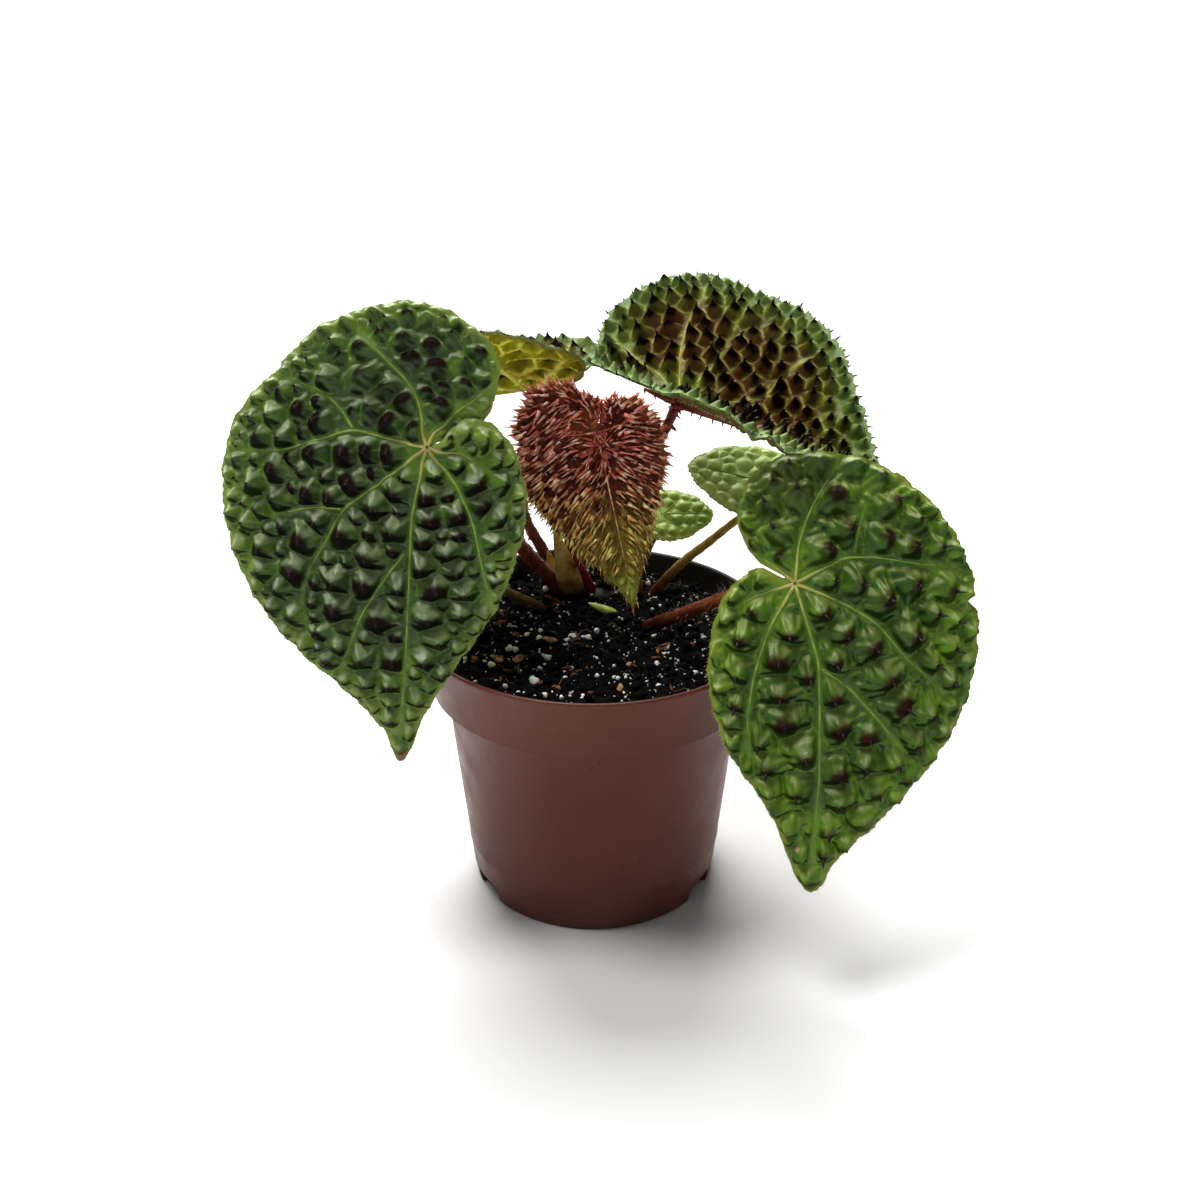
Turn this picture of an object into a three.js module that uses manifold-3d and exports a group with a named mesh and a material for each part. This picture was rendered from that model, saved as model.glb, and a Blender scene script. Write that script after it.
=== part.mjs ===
// Begonia ferox in a nursery pot: rhizome, stalks, blistered leaves, potting mix and pot.
// Millimetres, +Z up, origin on the pot's axis at the surface that the pot stands on.
import * as THREE from 'three';
import Module from 'manifold-3d';
import { mergeVertices } from 'three/addons/utils/BufferGeometryUtils.js';

const wasm = await Module();
wasm.setup();

// Driving dimensions of the pot
const rimRadius = 60;
const potHeight = 98.6;
const collarFoot = 76.8;
const collarFootRadius = 55.5;
const wallTopRadius = 50.9;
const baseRadius = 43;
const wallThickness = 1.6;
const floorThickness = 2.6;
const potSides = 48;
const drainCount = 3;
const drainWidth = 14;
const drainHeight = 6.5;
const drainDepth = 7;

// Driving dimensions of the planting
const soilTop = 92;
const seatGap = 0.3;
const bladeThickness = 1.1;
const thornClear = 5;

// Leaf drawing: the sinus starts this far from the stalk, and is held open in the drawing
const sinusRoot = 3;
const sinusOpen = 9;
const drawnSpan = 320;
const rootSpan = 352;
const blisterTries = 4000;

const degree = Math.PI / 180;
const plant = new THREE.Group();

// Seeded draws, so that the plant is the same each time
function seeded(seed) {
  let state = seed;
  return () => {
    state = (state * 48271) % 2147483647;
    return state / 2147483647;
  };
}

function smooth(low, high, value) {
  const t = Math.min(1, Math.max(0, (value - low) / (high - low)));
  return t * t * (3 - 2 * t);
}

function vector(list) {
  return new THREE.Vector3(...list);
}

function finish(colour, roughness) {
  return new THREE.MeshStandardMaterial({ color: colour, roughness, metalness: 0 });
}

function addPiece(name, geometry, material) {
  const mesh = new THREE.Mesh(geometry, material);
  mesh.name = name;
  plant.add(mesh);
  return mesh;
}

// Joins and cuts work on closed solids
function toSolid(geometry) {
  const bare = new THREE.BufferGeometry();
  bare.setAttribute('position', geometry.getAttribute('position').clone());
  if (geometry.index) bare.setIndex(geometry.index.clone());
  const merged = mergeVertices(bare, 1e-4);
  return new wasm.Manifold(new wasm.Mesh({
    numProp: 3,
    vertProperties: new Float32Array(merged.getAttribute('position').array),
    triVerts: new Uint32Array(merged.index.array),
  }));
}

function toGeometry(solid) {
  const mesh = solid.getMesh();
  const geometry = new THREE.BufferGeometry();
  geometry.setAttribute('position', new THREE.BufferAttribute(mesh.vertProperties, 3));
  geometry.setIndex(new THREE.BufferAttribute(mesh.triVerts, 1));
  return geometry;
}

function fromLists(points, faces) {
  const geometry = new THREE.BufferGeometry();
  const flat = points.flatMap((p) => [p.x, p.y, p.z]);
  geometry.setAttribute('position', new THREE.Float32BufferAttribute(flat, 3));
  geometry.setIndex(faces.flat());
  return geometry;
}

// Triangles between scattered flat points, each with no other point in its circle
function delaunay(points) {
  const far = 1e4;
  const all = [...points, { x: -far, y: -far }, { x: far, y: -far }, { x: 0, y: far }];
  const n = points.length;
  const circle = (a, b, c) => {
    const [p, q, r] = [all[a], all[b], all[c]];
    const d = 2 * (p.x * (q.y - r.y) + q.x * (r.y - p.y) + r.x * (p.y - q.y));
    const pp = p.x * p.x + p.y * p.y;
    const qq = q.x * q.x + q.y * q.y;
    const rr = r.x * r.x + r.y * r.y;
    const x = (pp * (q.y - r.y) + qq * (r.y - p.y) + rr * (p.y - q.y)) / d;
    const y = (pp * (r.x - q.x) + qq * (p.x - r.x) + rr * (q.x - p.x)) / d;
    return { corners: [a, b, c], x, y, r2: (p.x - x) ** 2 + (p.y - y) ** 2 };
  };
  let triangles = [circle(n, n + 1, n + 2)];
  for (let i = 0; i < n; i += 1) {
    const point = all[i];
    const hit = triangles.filter((t) => (point.x - t.x) ** 2 + (point.y - t.y) ** 2 < t.r2);
    triangles = triangles.filter((t) => (point.x - t.x) ** 2 + (point.y - t.y) ** 2 >= t.r2);
    const edges = new Map();
    for (const t of hit) {
      for (let k = 0; k < 3; k += 1) {
        const [a, b] = [t.corners[k], t.corners[(k + 1) % 3]];
        if (edges.has(`${b} ${a}`)) edges.delete(`${b} ${a}`);
        else edges.set(`${a} ${b}`, [a, b]);
      }
    }
    for (const [a, b] of edges.values()) triangles.push(circle(a, b, i));
  }
  return triangles.map((t) => t.corners).filter((t) => t.every((c) => c < n));
}

// Whether a flat point lies inside a closed outline
function insideOutline(outline, x, y) {
  let inside = false;
  for (let i = 0, j = outline.length - 1; i < outline.length; j = i, i += 1) {
    const [a, b] = [outline[i], outline[j]];
    if ((a.y > y) !== (b.y > y) && x < ((b.x - a.x) * (y - a.y)) / (b.y - a.y) + a.x) {
      inside = !inside;
    }
  }
  return inside;
}

// A leaf is drawn flat round the point where its stalk joins, with the sinus held open,
// and each point is then laid on the bent blade. Angles are in degrees, 270 at the tip.
// Where the lobes of a leaf lap, one lies in front of the other by its overlap.
function leafSheet(leaf) {
  const marks = leaf.outline;
  const first = marks[0][0];
  const last = marks[marks.length - 1][0];
  const span = last - first;
  const middle = (first + last) / 2;
  const squeeze = drawnSpan / span;
  const tipward = vector(leaf.tipward).normalize();
  const along = tipward.clone().negate();
  const facing = vector(leaf.side).normalize().cross(along).normalize();
  const across = along.clone().cross(facing);
  const junction = vector(leaf.junction);

  const radiusAt = (angle) => {
    let k = 0;
    while (k < marks.length - 2 && marks[k + 1][0] < angle) k += 1;
    const [a1, r1] = marks[k];
    const [a2, r2] = marks[k + 1];
    const [a0, r0] = marks[Math.max(0, k - 1)];
    const [a3, r3] = marks[Math.min(marks.length - 1, k + 2)];
    const m1 = a2 === a0 ? 0 : (r2 - r0) / (a2 - a0);
    const m2 = a3 === a1 ? 0 : (r3 - r1) / (a3 - a1);
    const t = (angle - a1) / (a2 - a1);
    const h = a2 - a1;
    return leaf.scale * (
      (2 * t ** 3 - 3 * t ** 2 + 1) * r1 + (t ** 3 - 2 * t ** 2 + t) * h * m1
      + (-2 * t ** 3 + 3 * t ** 2) * r2 + (t ** 3 - t ** 2) * h * m2
    );
  };
  const drawn = (angle, radius) => {
    const turn = (angle - middle) * squeeze * degree;
    return { x: radius * Math.cos(turn), y: radius * Math.sin(turn) };
  };
  const laid = (x, y) => {
    const radius = Math.hypot(x, y);
    const turn = Math.atan2(y, x) / degree;
    const root = Math.min(span, rootSpan);
    const opened = root + (span - root) * smooth(sinusRoot, sinusOpen, radius);
    const angle = middle + (turn * opened) / drawnSpan;
    const u = radius * Math.cos(angle * degree);
    const v = radius * Math.sin(angle * degree);
    const edge = smooth(90, 155, Math.abs(turn)) * smooth(1.5, 7, radius) * Math.sign(turn);
    return { u, v, lift: leaf.overlap * edge };
  };
  const base = (u, v, lift) => {
    const [bu, bv, bz] = leaf.bend(u / leaf.scale, v / leaf.scale).map((k) => k * leaf.scale);
    return junction.clone().addScaledVector(across, bu).addScaledVector(along, bv)
      .addScaledVector(facing, bz + lift);
  };
  const place = (x, y, height, lean = 0) => {
    const step = 0.5;
    const { u, v, lift } = laid(x, y);
    const at = base(u, v, lift);
    const du = base(u + step, v, lift).sub(at);
    const dv = base(u, v + step, lift).sub(at);
    const normal = du.cross(dv).normalize();
    const out = Math.hypot(u, v) || 1;
    return at.addScaledVector(normal, height)
      .addScaledVector(across, (lean * u) / out)
      .addScaledVector(along, (lean * v) / out);
  };
  return { first, last, radiusAt, drawn, place, facing };
}

// The drawn margin: out along one side of the sinus, round the leaf, and back to the stalk
function leafMargin(leaf, sheet) {
  const margin = [];
  const wall = (angle, outward) => {
    const reach = sheet.radiusAt(angle);
    const steps = Math.max(1, Math.round((reach - sinusRoot) / leaf.marginStep));
    for (let i = 0; i < steps; i += 1) {
      const t = outward ? i / steps : 1 - i / steps;
      margin.push(sheet.drawn(angle, sinusRoot + (reach - sinusRoot) * t));
    }
  };
  wall(sheet.first, true);
  let travelled = 0;
  let tooth = 0;
  const sweep = 0.5;
  let before = sheet.drawn(sheet.first, sheet.radiusAt(sheet.first));
  margin.push(before);
  for (let angle = sheet.first + sweep; angle < sheet.last; angle += sweep) {
    const next = sheet.drawn(angle, sheet.radiusAt(angle));
    travelled += Math.hypot(next.x - before.x, next.y - before.y);
    before = next;
    const left = Math.abs(sheet.last - angle);
    if (travelled >= leaf.marginStep / 2 && left > 2) {
      travelled = 0;
      tooth += 1;
      const cut = tooth % 2 ? leaf.tooth : -0.5 * leaf.tooth;
      margin.push(sheet.drawn(angle, sheet.radiusAt(angle) - cut));
    }
  }
  wall(sheet.last, false);
  margin.push(sheet.drawn(sheet.last, sinusRoot));
  return margin;
}

// Points at even steps along the drawn main veins
function leafVeins(leaf, sheet, step) {
  const points = [];
  for (const vein of leaf.veins) {
    const marks = vein.map(([angle, reach]) => sheet.drawn(angle, reach * leaf.scale));
    let rest = step;
    for (let k = 0; k < marks.length - 1; k += 1) {
      const [from, to] = [marks[k], marks[k + 1]];
      const length = Math.hypot(to.x - from.x, to.y - from.y);
      for (; rest < length; rest += step) {
        const t = rest / length;
        points.push({ x: from.x + (to.x - from.x) * t, y: from.y + (to.y - from.y) * t });
      }
      rest -= length;
    }
  }
  return points;
}

// Blister places: draws in the drawn leaf that keep apart, and clear of veins and margin
function blisterPlaces(leaf, sheet, margin) {
  const draw = seeded(leaf.seed);
  const veins = leafVeins(leaf, sheet, 2);
  const xs = margin.map((p) => p.x);
  const ys = margin.map((p) => p.y);
  const [left, right] = [Math.min(...xs), Math.max(...xs)];
  const [low, high] = [Math.min(...ys), Math.max(...ys)];
  const places = [];
  for (let tries = 0; tries < blisterTries; tries += 1) {
    const x = left + (right - left) * draw();
    const y = low + (high - low) * draw();
    const size = draw();
    if (!insideOutline(margin, x, y)) continue;
    const rim = Math.min(...margin.map((p) => Math.hypot(p.x - x, p.y - y)));
    const near = 0.62 + 0.38 * smooth(0, 16, rim);
    const space = leaf.spacing * near * (0.9 + 0.25 * size);
    if (rim < space * 0.42 || Math.hypot(x, y) < sinusRoot + space * 0.6) continue;
    if (veins.some((p) => Math.hypot(p.x - x, p.y - y) < space * 0.4)) continue;
    if (places.some((p) => Math.hypot(p.x - x, p.y - y) < (p.space + space) / 2)) continue;
    places.push({ x, y, space, height: leaf.height * near * (0.8 + 0.4 * size) });
  }
  return places;
}

// A blade: blisters as peaks, valleys between them, the same triangles on both faces
function bladeGeometry(leaf) {
  const sheet = leafSheet(leaf);
  const margin = leafMargin(leaf, sheet);
  const peaks = blisterPlaces(leaf, sheet, margin);
  const spots = margin.map((p) => ({ ...p, height: 0 }));
  spots.push({ x: 0, y: 0, height: 0 });
  for (const p of leafVeins(leaf, sheet, leaf.veinStep)) spots.push({ ...p, height: 0 });
  for (const p of peaks) {
    const turn = Math.atan2(p.y, p.x) / degree;
    const hidden = leaf.overlap ? 1 - 0.85 * smooth(125, 150, -turn) : 1;
    spots.push({ x: p.x, y: p.y, height: p.height * hidden, peak: true });
  }
  const blocked = (x, y) => spots.some((s) => Math.hypot(s.x - x, s.y - y) < leaf.spacing * 0.3);
  for (const [a, b, c] of delaunay(spots)) {
    if (!(spots[a].peak && spots[b].peak && spots[c].peak)) continue;
    const x = (spots[a].x + spots[b].x + spots[c].x) / 3;
    const y = (spots[a].y + spots[b].y + spots[c].y) / 3;
    if (!blocked(x, y)) spots.push({ x, y, height: 0 });
  }
  const triangles = delaunay(spots).filter(([a, b, c]) => {
    const x = (spots[a].x + spots[b].x + spots[c].x) / 3;
    const y = (spots[a].y + spots[b].y + spots[c].y) / 3;
    return insideOutline(margin, x, y);
  });
  const count = spots.length;
  const points = [
    ...spots.map((s) => sheet.place(s.x, s.y, s.height, s.peak ? leaf.lean : 0)),
    ...spots.map((s) => sheet.place(s.x, s.y, s.height - bladeThickness, s.peak ? leaf.lean : 0)),
  ];
  const faces = [];
  const open = new Map();
  for (const [a, b, c] of triangles) {
    faces.push([a, b, c], [a + count, c + count, b + count]);
    for (const [p, q] of [[a, b], [b, c], [c, a]]) {
      if (open.has(`${q} ${p}`)) open.delete(`${q} ${p}`);
      else open.set(`${p} ${q}`, [p, q]);
    }
  }
  for (const [p, q] of open.values()) {
    faces.push([q, p, p + count], [q, p + count, q + count]);
  }
  return fromLists(points, faces);
}

// A stalk: rings along a curve, some corners of which stand out as thorns
function stalkGeometry(stalk, swell = 0) {
  const curve = new THREE.CatmullRomCurve3(stalk.path.map(vector));
  const steps = Math.round(curve.getLength() / stalk.step);
  const frames = curve.computeFrenetFrames(steps, false);
  const draw = seeded(stalk.seed);
  const sides = stalk.sides;
  const points = [];
  const faces = [];
  for (let i = 0; i <= steps; i += 1) {
    const t = i / steps;
    const centre = curve.getPointAt(t);
    const radius = THREE.MathUtils.lerp(stalk.radii[0], stalk.radii[1], t) + swell;
    let normal = frames.normals[i].clone();
    let binormal = frames.binormals[i].clone();
    if (i === steps && stalk.seat) {
      const seat = vector(stalk.seat).normalize();
      normal.addScaledVector(seat, -normal.dot(seat)).normalize();
      binormal = seat.clone().cross(normal);
    }
    for (let j = 0; j < sides; j += 1) {
      const turn = (2 * Math.PI * (j + (i % 2) / 2)) / sides;
      const outward = normal.clone().multiplyScalar(Math.cos(turn))
        .addScaledVector(binormal, Math.sin(turn));
      const chance = draw();
      const length = draw();
      const bare = centre.z < soilTop + stalk.clear || i > steps - 3;
      const thorn = !swell && !bare && chance < stalk.thorny ? stalk.thorn * (0.6 + 0.6 * length) : 0;
      const point = centre.clone().addScaledVector(outward, radius + thorn);
      point.addScaledVector(frames.tangents[i], -0.35 * thorn);
      points.push(point);
    }
  }
  for (let i = 0; i < steps; i += 1) {
    for (let j = 0; j < sides; j += 1) {
      const a = i * sides + j;
      const b = i * sides + ((j + 1) % sides);
      const shift = i % 2 ? 1 : 0;
      const c = (i + 1) * sides + ((j + shift) % sides);
      const d = (i + 1) * sides + ((j + shift + sides - 1) % sides);
      faces.push([a, b, c], [a, c, d]);
    }
  }
  for (let j = 1; j < sides - 1; j += 1) {
    faces.push([0, j + 1, j]);
    const top = steps * sides;
    faces.push([top, top + j, top + j + 1]);
  }
  return fromLists(points, faces);
}

// Outlines as angle and reach from the stalk, from one side of the sinus to the other
const leftwardBlade = [
  [16, 9], [31, 19.6], [46, 29.1], [58, 36.2], [72, 39.8], [98, 45], [122, 47], [139, 49.8],
  [157, 51.5], [176, 59.2], [205, 65.7], [228, 70.7], [252, 77.4], [260, 82.6], [266, 89.5],
  [270, 98.5], [274, 83.2], [283, 67.4], [300, 52.7], [315, 43.3], [347, 31.2], [366, 26.1],
  [384, 21.4], [402, 14.7],
];
const rightwardBlade = [
  [151, 11], [171, 16.5], [189, 22.3], [209, 29.9], [222, 37.5], [236, 47.4], [246, 56.2],
  [256, 64.8], [263, 75.6], [270, 97], [276, 87.2], [284, 80.2], [296, 73], [319, 64.6],
  [342, 57.7], [358, 54.1], [378, 49.9], [401, 45.8], [437, 40.6], [463, 37], [484, 28.7],
  [495, 22], [507, 12.2],
];
const raisedBlade = [
  [151, 10], [171, 16], [189, 21], [209, 28], [225, 35], [240, 44], [252, 55], [262, 69], [270, 82],
  [274, 74], [280, 68], [290, 62], [300, 58], [315, 56], [339, 53], [360, 50], [376, 53],
  [394, 55], [414, 52], [424, 49], [432, 45], [440, 40], [452, 36], [465, 33], [480, 27],
  [493, 19], [507, 11],
];
const backBlade = [
  [112, 8], [120, 19], [132, 30], [146, 38], [165, 45], [190, 50], [215, 55], [240, 62], [256, 70],
  [270, 82], [282, 70], [300, 60], [325, 51], [350, 43], [382, 31], [405, 28.5], [422, 24],
  [442, 16], [464, 10],
];
const youngBlade = [
  [68, 9], [95, 13.4], [109, 18.3], [121, 22.1], [136, 24.5], [163, 26.5], [184, 27], [207, 30.7],
  [235, 35.9], [247, 40.3], [257, 45.6], [265, 51.9], [270, 59.2], [274, 50], [288, 36.3],
  [305, 28.4], [333, 23.1], [354, 20.7], [373, 18.3], [397, 14.8], [419, 11.1], [428, 9],
];
const seedlingBlade = [
  [72, 4], [100, 8.5], [135, 11.5], [180, 12.5], [215, 14], [245, 17.5], [262, 20], [270, 21],
  [278, 20], [295, 17], [325, 13.5], [360, 12], [405, 10.5], [432, 4],
];

// Main veins and their forks, each as marks of angle and reach
const leftwardVeins = [
  [[262, 0], [262, 22], [267, 43], [268.5, 62], [269.3, 92]],
  [[262.6, 33], [256, 44], [253, 57], [253.5, 75]],
  [[312, 0], [313, 14], [306, 27], [299, 41], [296.5, 54]],
  [[221, 0], [222, 19], [221, 32], [227, 41], [231, 53], [236, 62]],
  [[221, 32], [212, 40], [208.5, 52]],
  [[174, 0], [172, 15], [171, 23], [180, 32], [186, 44], [186, 58]],
  [[171, 23], [160, 29], [156.5, 36], [158.5, 49]],
  [[105, 0], [105, 15], [112, 22], [120, 30], [125, 42]],
  [[68, 0], [57, 13], [50, 22], [49, 28]],
  [[366, 0], [355, 10], [347, 17], [341, 22]],
];
const rightwardVeins = [
  [[283, 0], [284, 25], [278, 41], [274.5, 60], [271, 88]],
  [[283.5, 27], [294, 35], [298, 47], [300, 62]],
  [[235, 0], [238, 16], [243.5, 31], [248, 44], [253, 56]],
  [[333, 0], [335, 16], [331, 28], [324, 38], [320.5, 57]],
  [[388, 0], [385, 17], [375, 26], [366, 38], [363, 49]],
  [[384, 20], [396, 24], [405, 32]],
  [[441, 0], [442, 12], [436, 22], [429, 35], [428, 39]],
  [[488, 0], [497, 9], [500, 14]],
  [[190, 0], [194, 11], [200, 19]],
];
const raisedVeins = [
  [[270, 0], [262, 22], [266, 45], [271, 76]],
  [[392, 0], [393, 20], [388, 33], [382, 50]],
  [[343, 0], [348, 15], [352, 23], [359, 33], [361, 47]],
  [[277, 8], [289, 18], [296, 29], [310, 35], [316.5, 42], [317, 53]],
  [[420, 0], [426, 14], [432, 25], [431, 40]],
  [[234, 0], [236, 25], [237, 38]],
  [[190, 0], [192, 18]],
];
const backVeins = [
  [[270, 0], [270, 77]], [[305, 0], [302, 53]], [[345, 0], [340, 39]], [[400, 0], [400, 25]],
  [[232, 0], [237, 54]], [[185, 0], [188, 43]], [[140, 0], [140, 28]],
];
const youngVeins = [
  [[270, 0], [270, 55]], [[235, 0], [241, 33]], [[305, 0], [299, 26]], [[170, 0], [174, 22]],
  [[372, 0], [368, 15]],
];
const seedlingVeins = [[[270, 0], [270, 20]], [[220, 0], [225, 11]], [[320, 0], [315, 11]]];

// What the grown leaves share, and what the juvenile leaves share
const grown = {
  scale: 1, overlap: 0, spacing: 6.4, height: 4.8, lean: 0.8, marginStep: 8, tooth: 1, veinStep: 9,
};
const seedling = {
  ...grown, outline: seedlingBlade, veins: seedlingVeins, spacing: 4.8, height: 2, lean: 0.4,
  marginStep: 5, tooth: 0.5, veinStep: 6,
};

// A sheet folded along its midrib, with both halves rising
function folded(u, v, left, right) {
  const rise = Math.tan((u < 0 ? left : right) * degree);
  const soft = Math.sqrt(u * u + 9) - 3;
  const narrow = Math.cos((u < 0 ? left : right) * degree);
  return [u * narrow, v, soft * rise * narrow];
}

// The leaves: where each joins its stalk, which way its tip and its side point, its bend
const leaves = [
  {
    ...grown, name: 'leaf_1_front_left', colour: 0x2c4a22, seed: 1101, outline: leftwardBlade,
    veins: leftwardVeins, junction: [-51, -20, 166.8], tipward: [-7.9, -40, -87.1],
    side: [1, 0.12, 0], overlap: 1.5,
    bend: (u, v) => [u, v, -0.0016 * u * u - 0.0011 * v * v],
  },
  {
    ...grown, name: 'leaf_2_front_right', colour: 0x36592a, seed: 2202, outline: rightwardBlade,
    veins: rightwardVeins, junction: [61.6, -42, 130.9], tipward: [4.9, -38, -85.7],
    side: [1, -0.1, 0], spacing: 8, height: 4.6, lean: 2.2,
    bend: (u, v) => [u, v, -0.0016 * u * u - 0.001 * v * v],
  },
  {
    ...grown, name: 'leaf_3_back_right', colour: 0x4d5c32, seed: 3303, outline: raisedBlade,
    veins: raisedVeins, junction: [28.9, 24, 169.5], tipward: [65, -49, -13.5],
    side: [0.605, 0.8, 0], spacing: 5.7, height: 7.4, lean: 1.4,
    bend: (u, v) => folded(u, v, 25, 36),
  },
  {
    ...grown, name: 'leaf_4_back_left', colour: 0x6c7434, seed: 4404, outline: backBlade,
    veins: backVeins, junction: [-21.5, 45, 165.5], tipward: [-75, 8, -14],
    side: [-0.1, -1, 0], spacing: 7, height: 5.6,
    bend: (u, v) => folded(u, v, 6, 48),
  },
  {
    ...grown, name: 'leaf_5_centre_young', colour: 0x6d3a2c, seed: 5505, outline: youngBlade,
    veins: youngVeins, junction: [1.2, 8, 162], tipward: [12.5, -8, -57.3], side: [1, 0, 0.2],
    spacing: 4.4, height: 4.2, lean: 2.4, marginStep: 5, tooth: 1.6, veinStep: 99,
    bend: (u, v) => [u, v, -0.004 * u * u + 0.001 * v * v],
  },
  {
    ...seedling, name: 'leaf_6_seedling_right', colour: 0x6f8a4e, seed: 6606,
    junction: [25.3, 47, 117.4], tipward: [20, -2, 1.5], side: [0.2, 0.75, 0.6], scale: 0.86,
    bend: (u, v) => [u, v, -0.006 * u * u - 0.004 * v * v],
  },
  {
    ...seedling, name: 'leaf_7_seedling_far_right', colour: 0x5f7d45, seed: 7707,
    junction: [61, 20, 139], tipward: [-31, 4, 8.5], side: [-0.2, -0.9, -0.42], scale: 1.4,
    bend: (u, v) => [u, v, -0.006 * u * u - 0.004 * v * v],
  },
  {
    ...seedling, name: 'leaf_8_seedling_left', colour: 0x64824a, seed: 8808,
    junction: [-42, 8, 116], tipward: [-15, -8, -8], side: [0.5, -0.8, -0.3],
    bend: (u, v) => [u, v, -0.006 * u * u - 0.004 * v * v],
  },
];

// The stalks: each path starts in the mix and ends under its leaf
const thick = {
  sides: 7, step: 2.6, thorny: 0.3, thorn: 2.6, clear: thornClear, radii: [2.8, 2],
};
const slim = { ...thick, sides: 6, step: 3, thorny: 0.12, thorn: 1, radii: [1.5, 1] };
const stalks = [
  {
    ...thick, name: 'stalk_1', colour: 0x5e2a20, seed: 11, leaf: 0,
    path: [[-10.5, 34, 85], [-13, 32.5, 94], [-19.8, 26, 106.3], [-27, 17, 120], [-38, 3, 141]],
  },
  {
    ...thick, name: 'stalk_2', colour: 0x6e3323, seed: 22, leaf: 1, radii: [2.4, 1.9],
    path: [[13.5, 16, 85], [21.2, 5, 93.6], [32.2, -8, 104.8], [41.6, -19, 114.5], [53, -30, 124]],
  },
  {
    ...thick, name: 'stalk_3', colour: 0x7c3830, seed: 33, leaf: 2, radii: [2.3, 1.6],
    clear: 14,
    path: [[13.5, 34, 84], [14.5, 33, 93.2], [18, 30, 121.9], [21, 27, 148], [26, 25, 161]],
  },
  {
    ...thick, name: 'stalk_4', colour: 0x7a4226, seed: 44, leaf: 3, radii: [2.2, 1.6],
    clear: 16,
    path: [[-12, 41, 85], [-16.7, 40, 102.1], [-25.4, 42, 120.5], [-23, 46, 142.9], [-21.8, 46, 157]],
  },
  {
    ...thick, name: 'stalk_5', colour: 0x6a2326, seed: 55, leaf: 4, radii: [2.1, 1.5],
    clear: 32,
    path: [[0, 35, 84], [-1.4, 34, 93.2], [-8, 31, 110], [-9, 27, 125], [-6.3, 21, 144]],
  },
  {
    ...slim, name: 'stalk_6', colour: 0x77753f, seed: 66, leaf: 5, radii: [1.3, 1],
    path: [[16.6, 47, 84], [16.9, 47, 93.1], [19.4, 47.4, 101], [22.6, 47.4, 109]],
  },
  {
    ...slim, name: 'stalk_7', colour: 0x8a713c, seed: 77, leaf: 6, radii: [2, 1.1],
    path: [
      [19, 37, 84], [23.2, 34, 93.6], [33.2, 29, 107.6], [39.5, 26, 114.4], [49.3, 22, 125],
      [56.6, 20.5, 131.4],
    ],
  },
  {
    ...slim, name: 'stalk_8', colour: 0x8b7d45, seed: 88, leaf: 7, radii: [1.7, 1.1],
    path: [[-14, 25, 84], [-19.1, 20, 92.8], [-25.7, 14, 99.5], [-31.1, 10, 104.5], [-38, 8, 110]],
  },
];

// Each stalk ends square on the underside of its blade, a seat gap below it
for (const stalk of stalks) {
  const sheet = leafSheet(leaves[stalk.leaf]);
  const tip = sheet.place(0, 0, -bladeThickness - seatGap);
  stalk.seat = sheet.facing.toArray();
  stalk.path.push(tip.toArray());
}

// A rounded body: an ellipsoid that can be roughened, narrowed to a point and curled
function bodyGeometry(body, swell = 0) {
  const geometry = new THREE.SphereGeometry(1, body.round[0], body.round[1]);
  const place = geometry.getAttribute('position');
  for (let i = 0; i < place.count; i += 1) {
    const p = new THREE.Vector3().fromBufferAttribute(place, i);
    const height = (p.y + 1) / 2;
    const slim = 1 - body.taper * height;
    const knob = 1 + body.knobs * Math.sin(9 * p.y + 2 * p.x) * Math.cos(5 * p.z);
    place.setXYZ(
      i,
      p.x * (body.radii[0] + swell) * slim * knob,
      p.y * (body.radii[1] + swell) * knob,
      p.z * (body.radii[2] + swell) * slim * knob + body.curl * height * height,
    );
  }
  geometry.rotateX(body.turn[0] * degree);
  geometry.rotateY(body.turn[1] * degree);
  geometry.rotateZ(body.turn[2] * degree);
  geometry.translate(...body.centre);
  return geometry;
}

// The main body of a cut solid, without loose crumbs
function largest(solid) {
  const parts = solid.decompose();
  return parts.sort((a, b) => b.volume() - a.volume())[0];
}

// The rhizome lies in the mix, with papery bracts standing round the feet of the stalks
const rhizome = {
  radii: [6.5, 20, 5], centre: [1.5, 34.5, 88], round: [12, 9], taper: 0.1, knobs: 0.06, curl: 0,
  turn: [0, 0, 82],
};
const bract = { radii: [4, 10, 1.3], round: [8, 6], taper: 0.72, knobs: 0, curl: -2 };
const bracts = [
  { ...bract, centre: [-8.5, 27.5, 106], radii: [9, 18, 1.7], taper: 0.88, turn: [101, -13, 0] },
  { ...bract, centre: [-14.6, 35.6, 97.5], radii: [4.4, 10, 1.4], turn: [88, -12, 0] },
  { ...bract, centre: [15, 29, 97], radii: [4, 9, 1.4], turn: [98, 0, 4] },
  { ...bract, centre: [5, 38.5, 96], radii: [3.6, 9, 1.3], turn: [92, 0, 176] },
];
// A folded shoot in front of the rhizome
const sprout = {
  radii: [2.2, 5.4, 1.6], centre: [3.2, 18.2, 92.6], round: [8, 6], taper: 0.6, knobs: 0, curl: 0.8,
  turn: [14, 0, 78],
};

// Each stalk passes through its own hole in the rhizome and the mix
const clearance = seatGap + 0.1;
const holes = stalks.map((stalk) => toSolid(stalkGeometry(stalk, clearance)));

let crown = toSolid(bodyGeometry(rhizome));
for (const leaflet of bracts) crown = crown.add(toSolid(bodyGeometry(leaflet)));
for (const hole of holes) crown = crown.subtract(hole);
crown = largest(crown);

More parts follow.
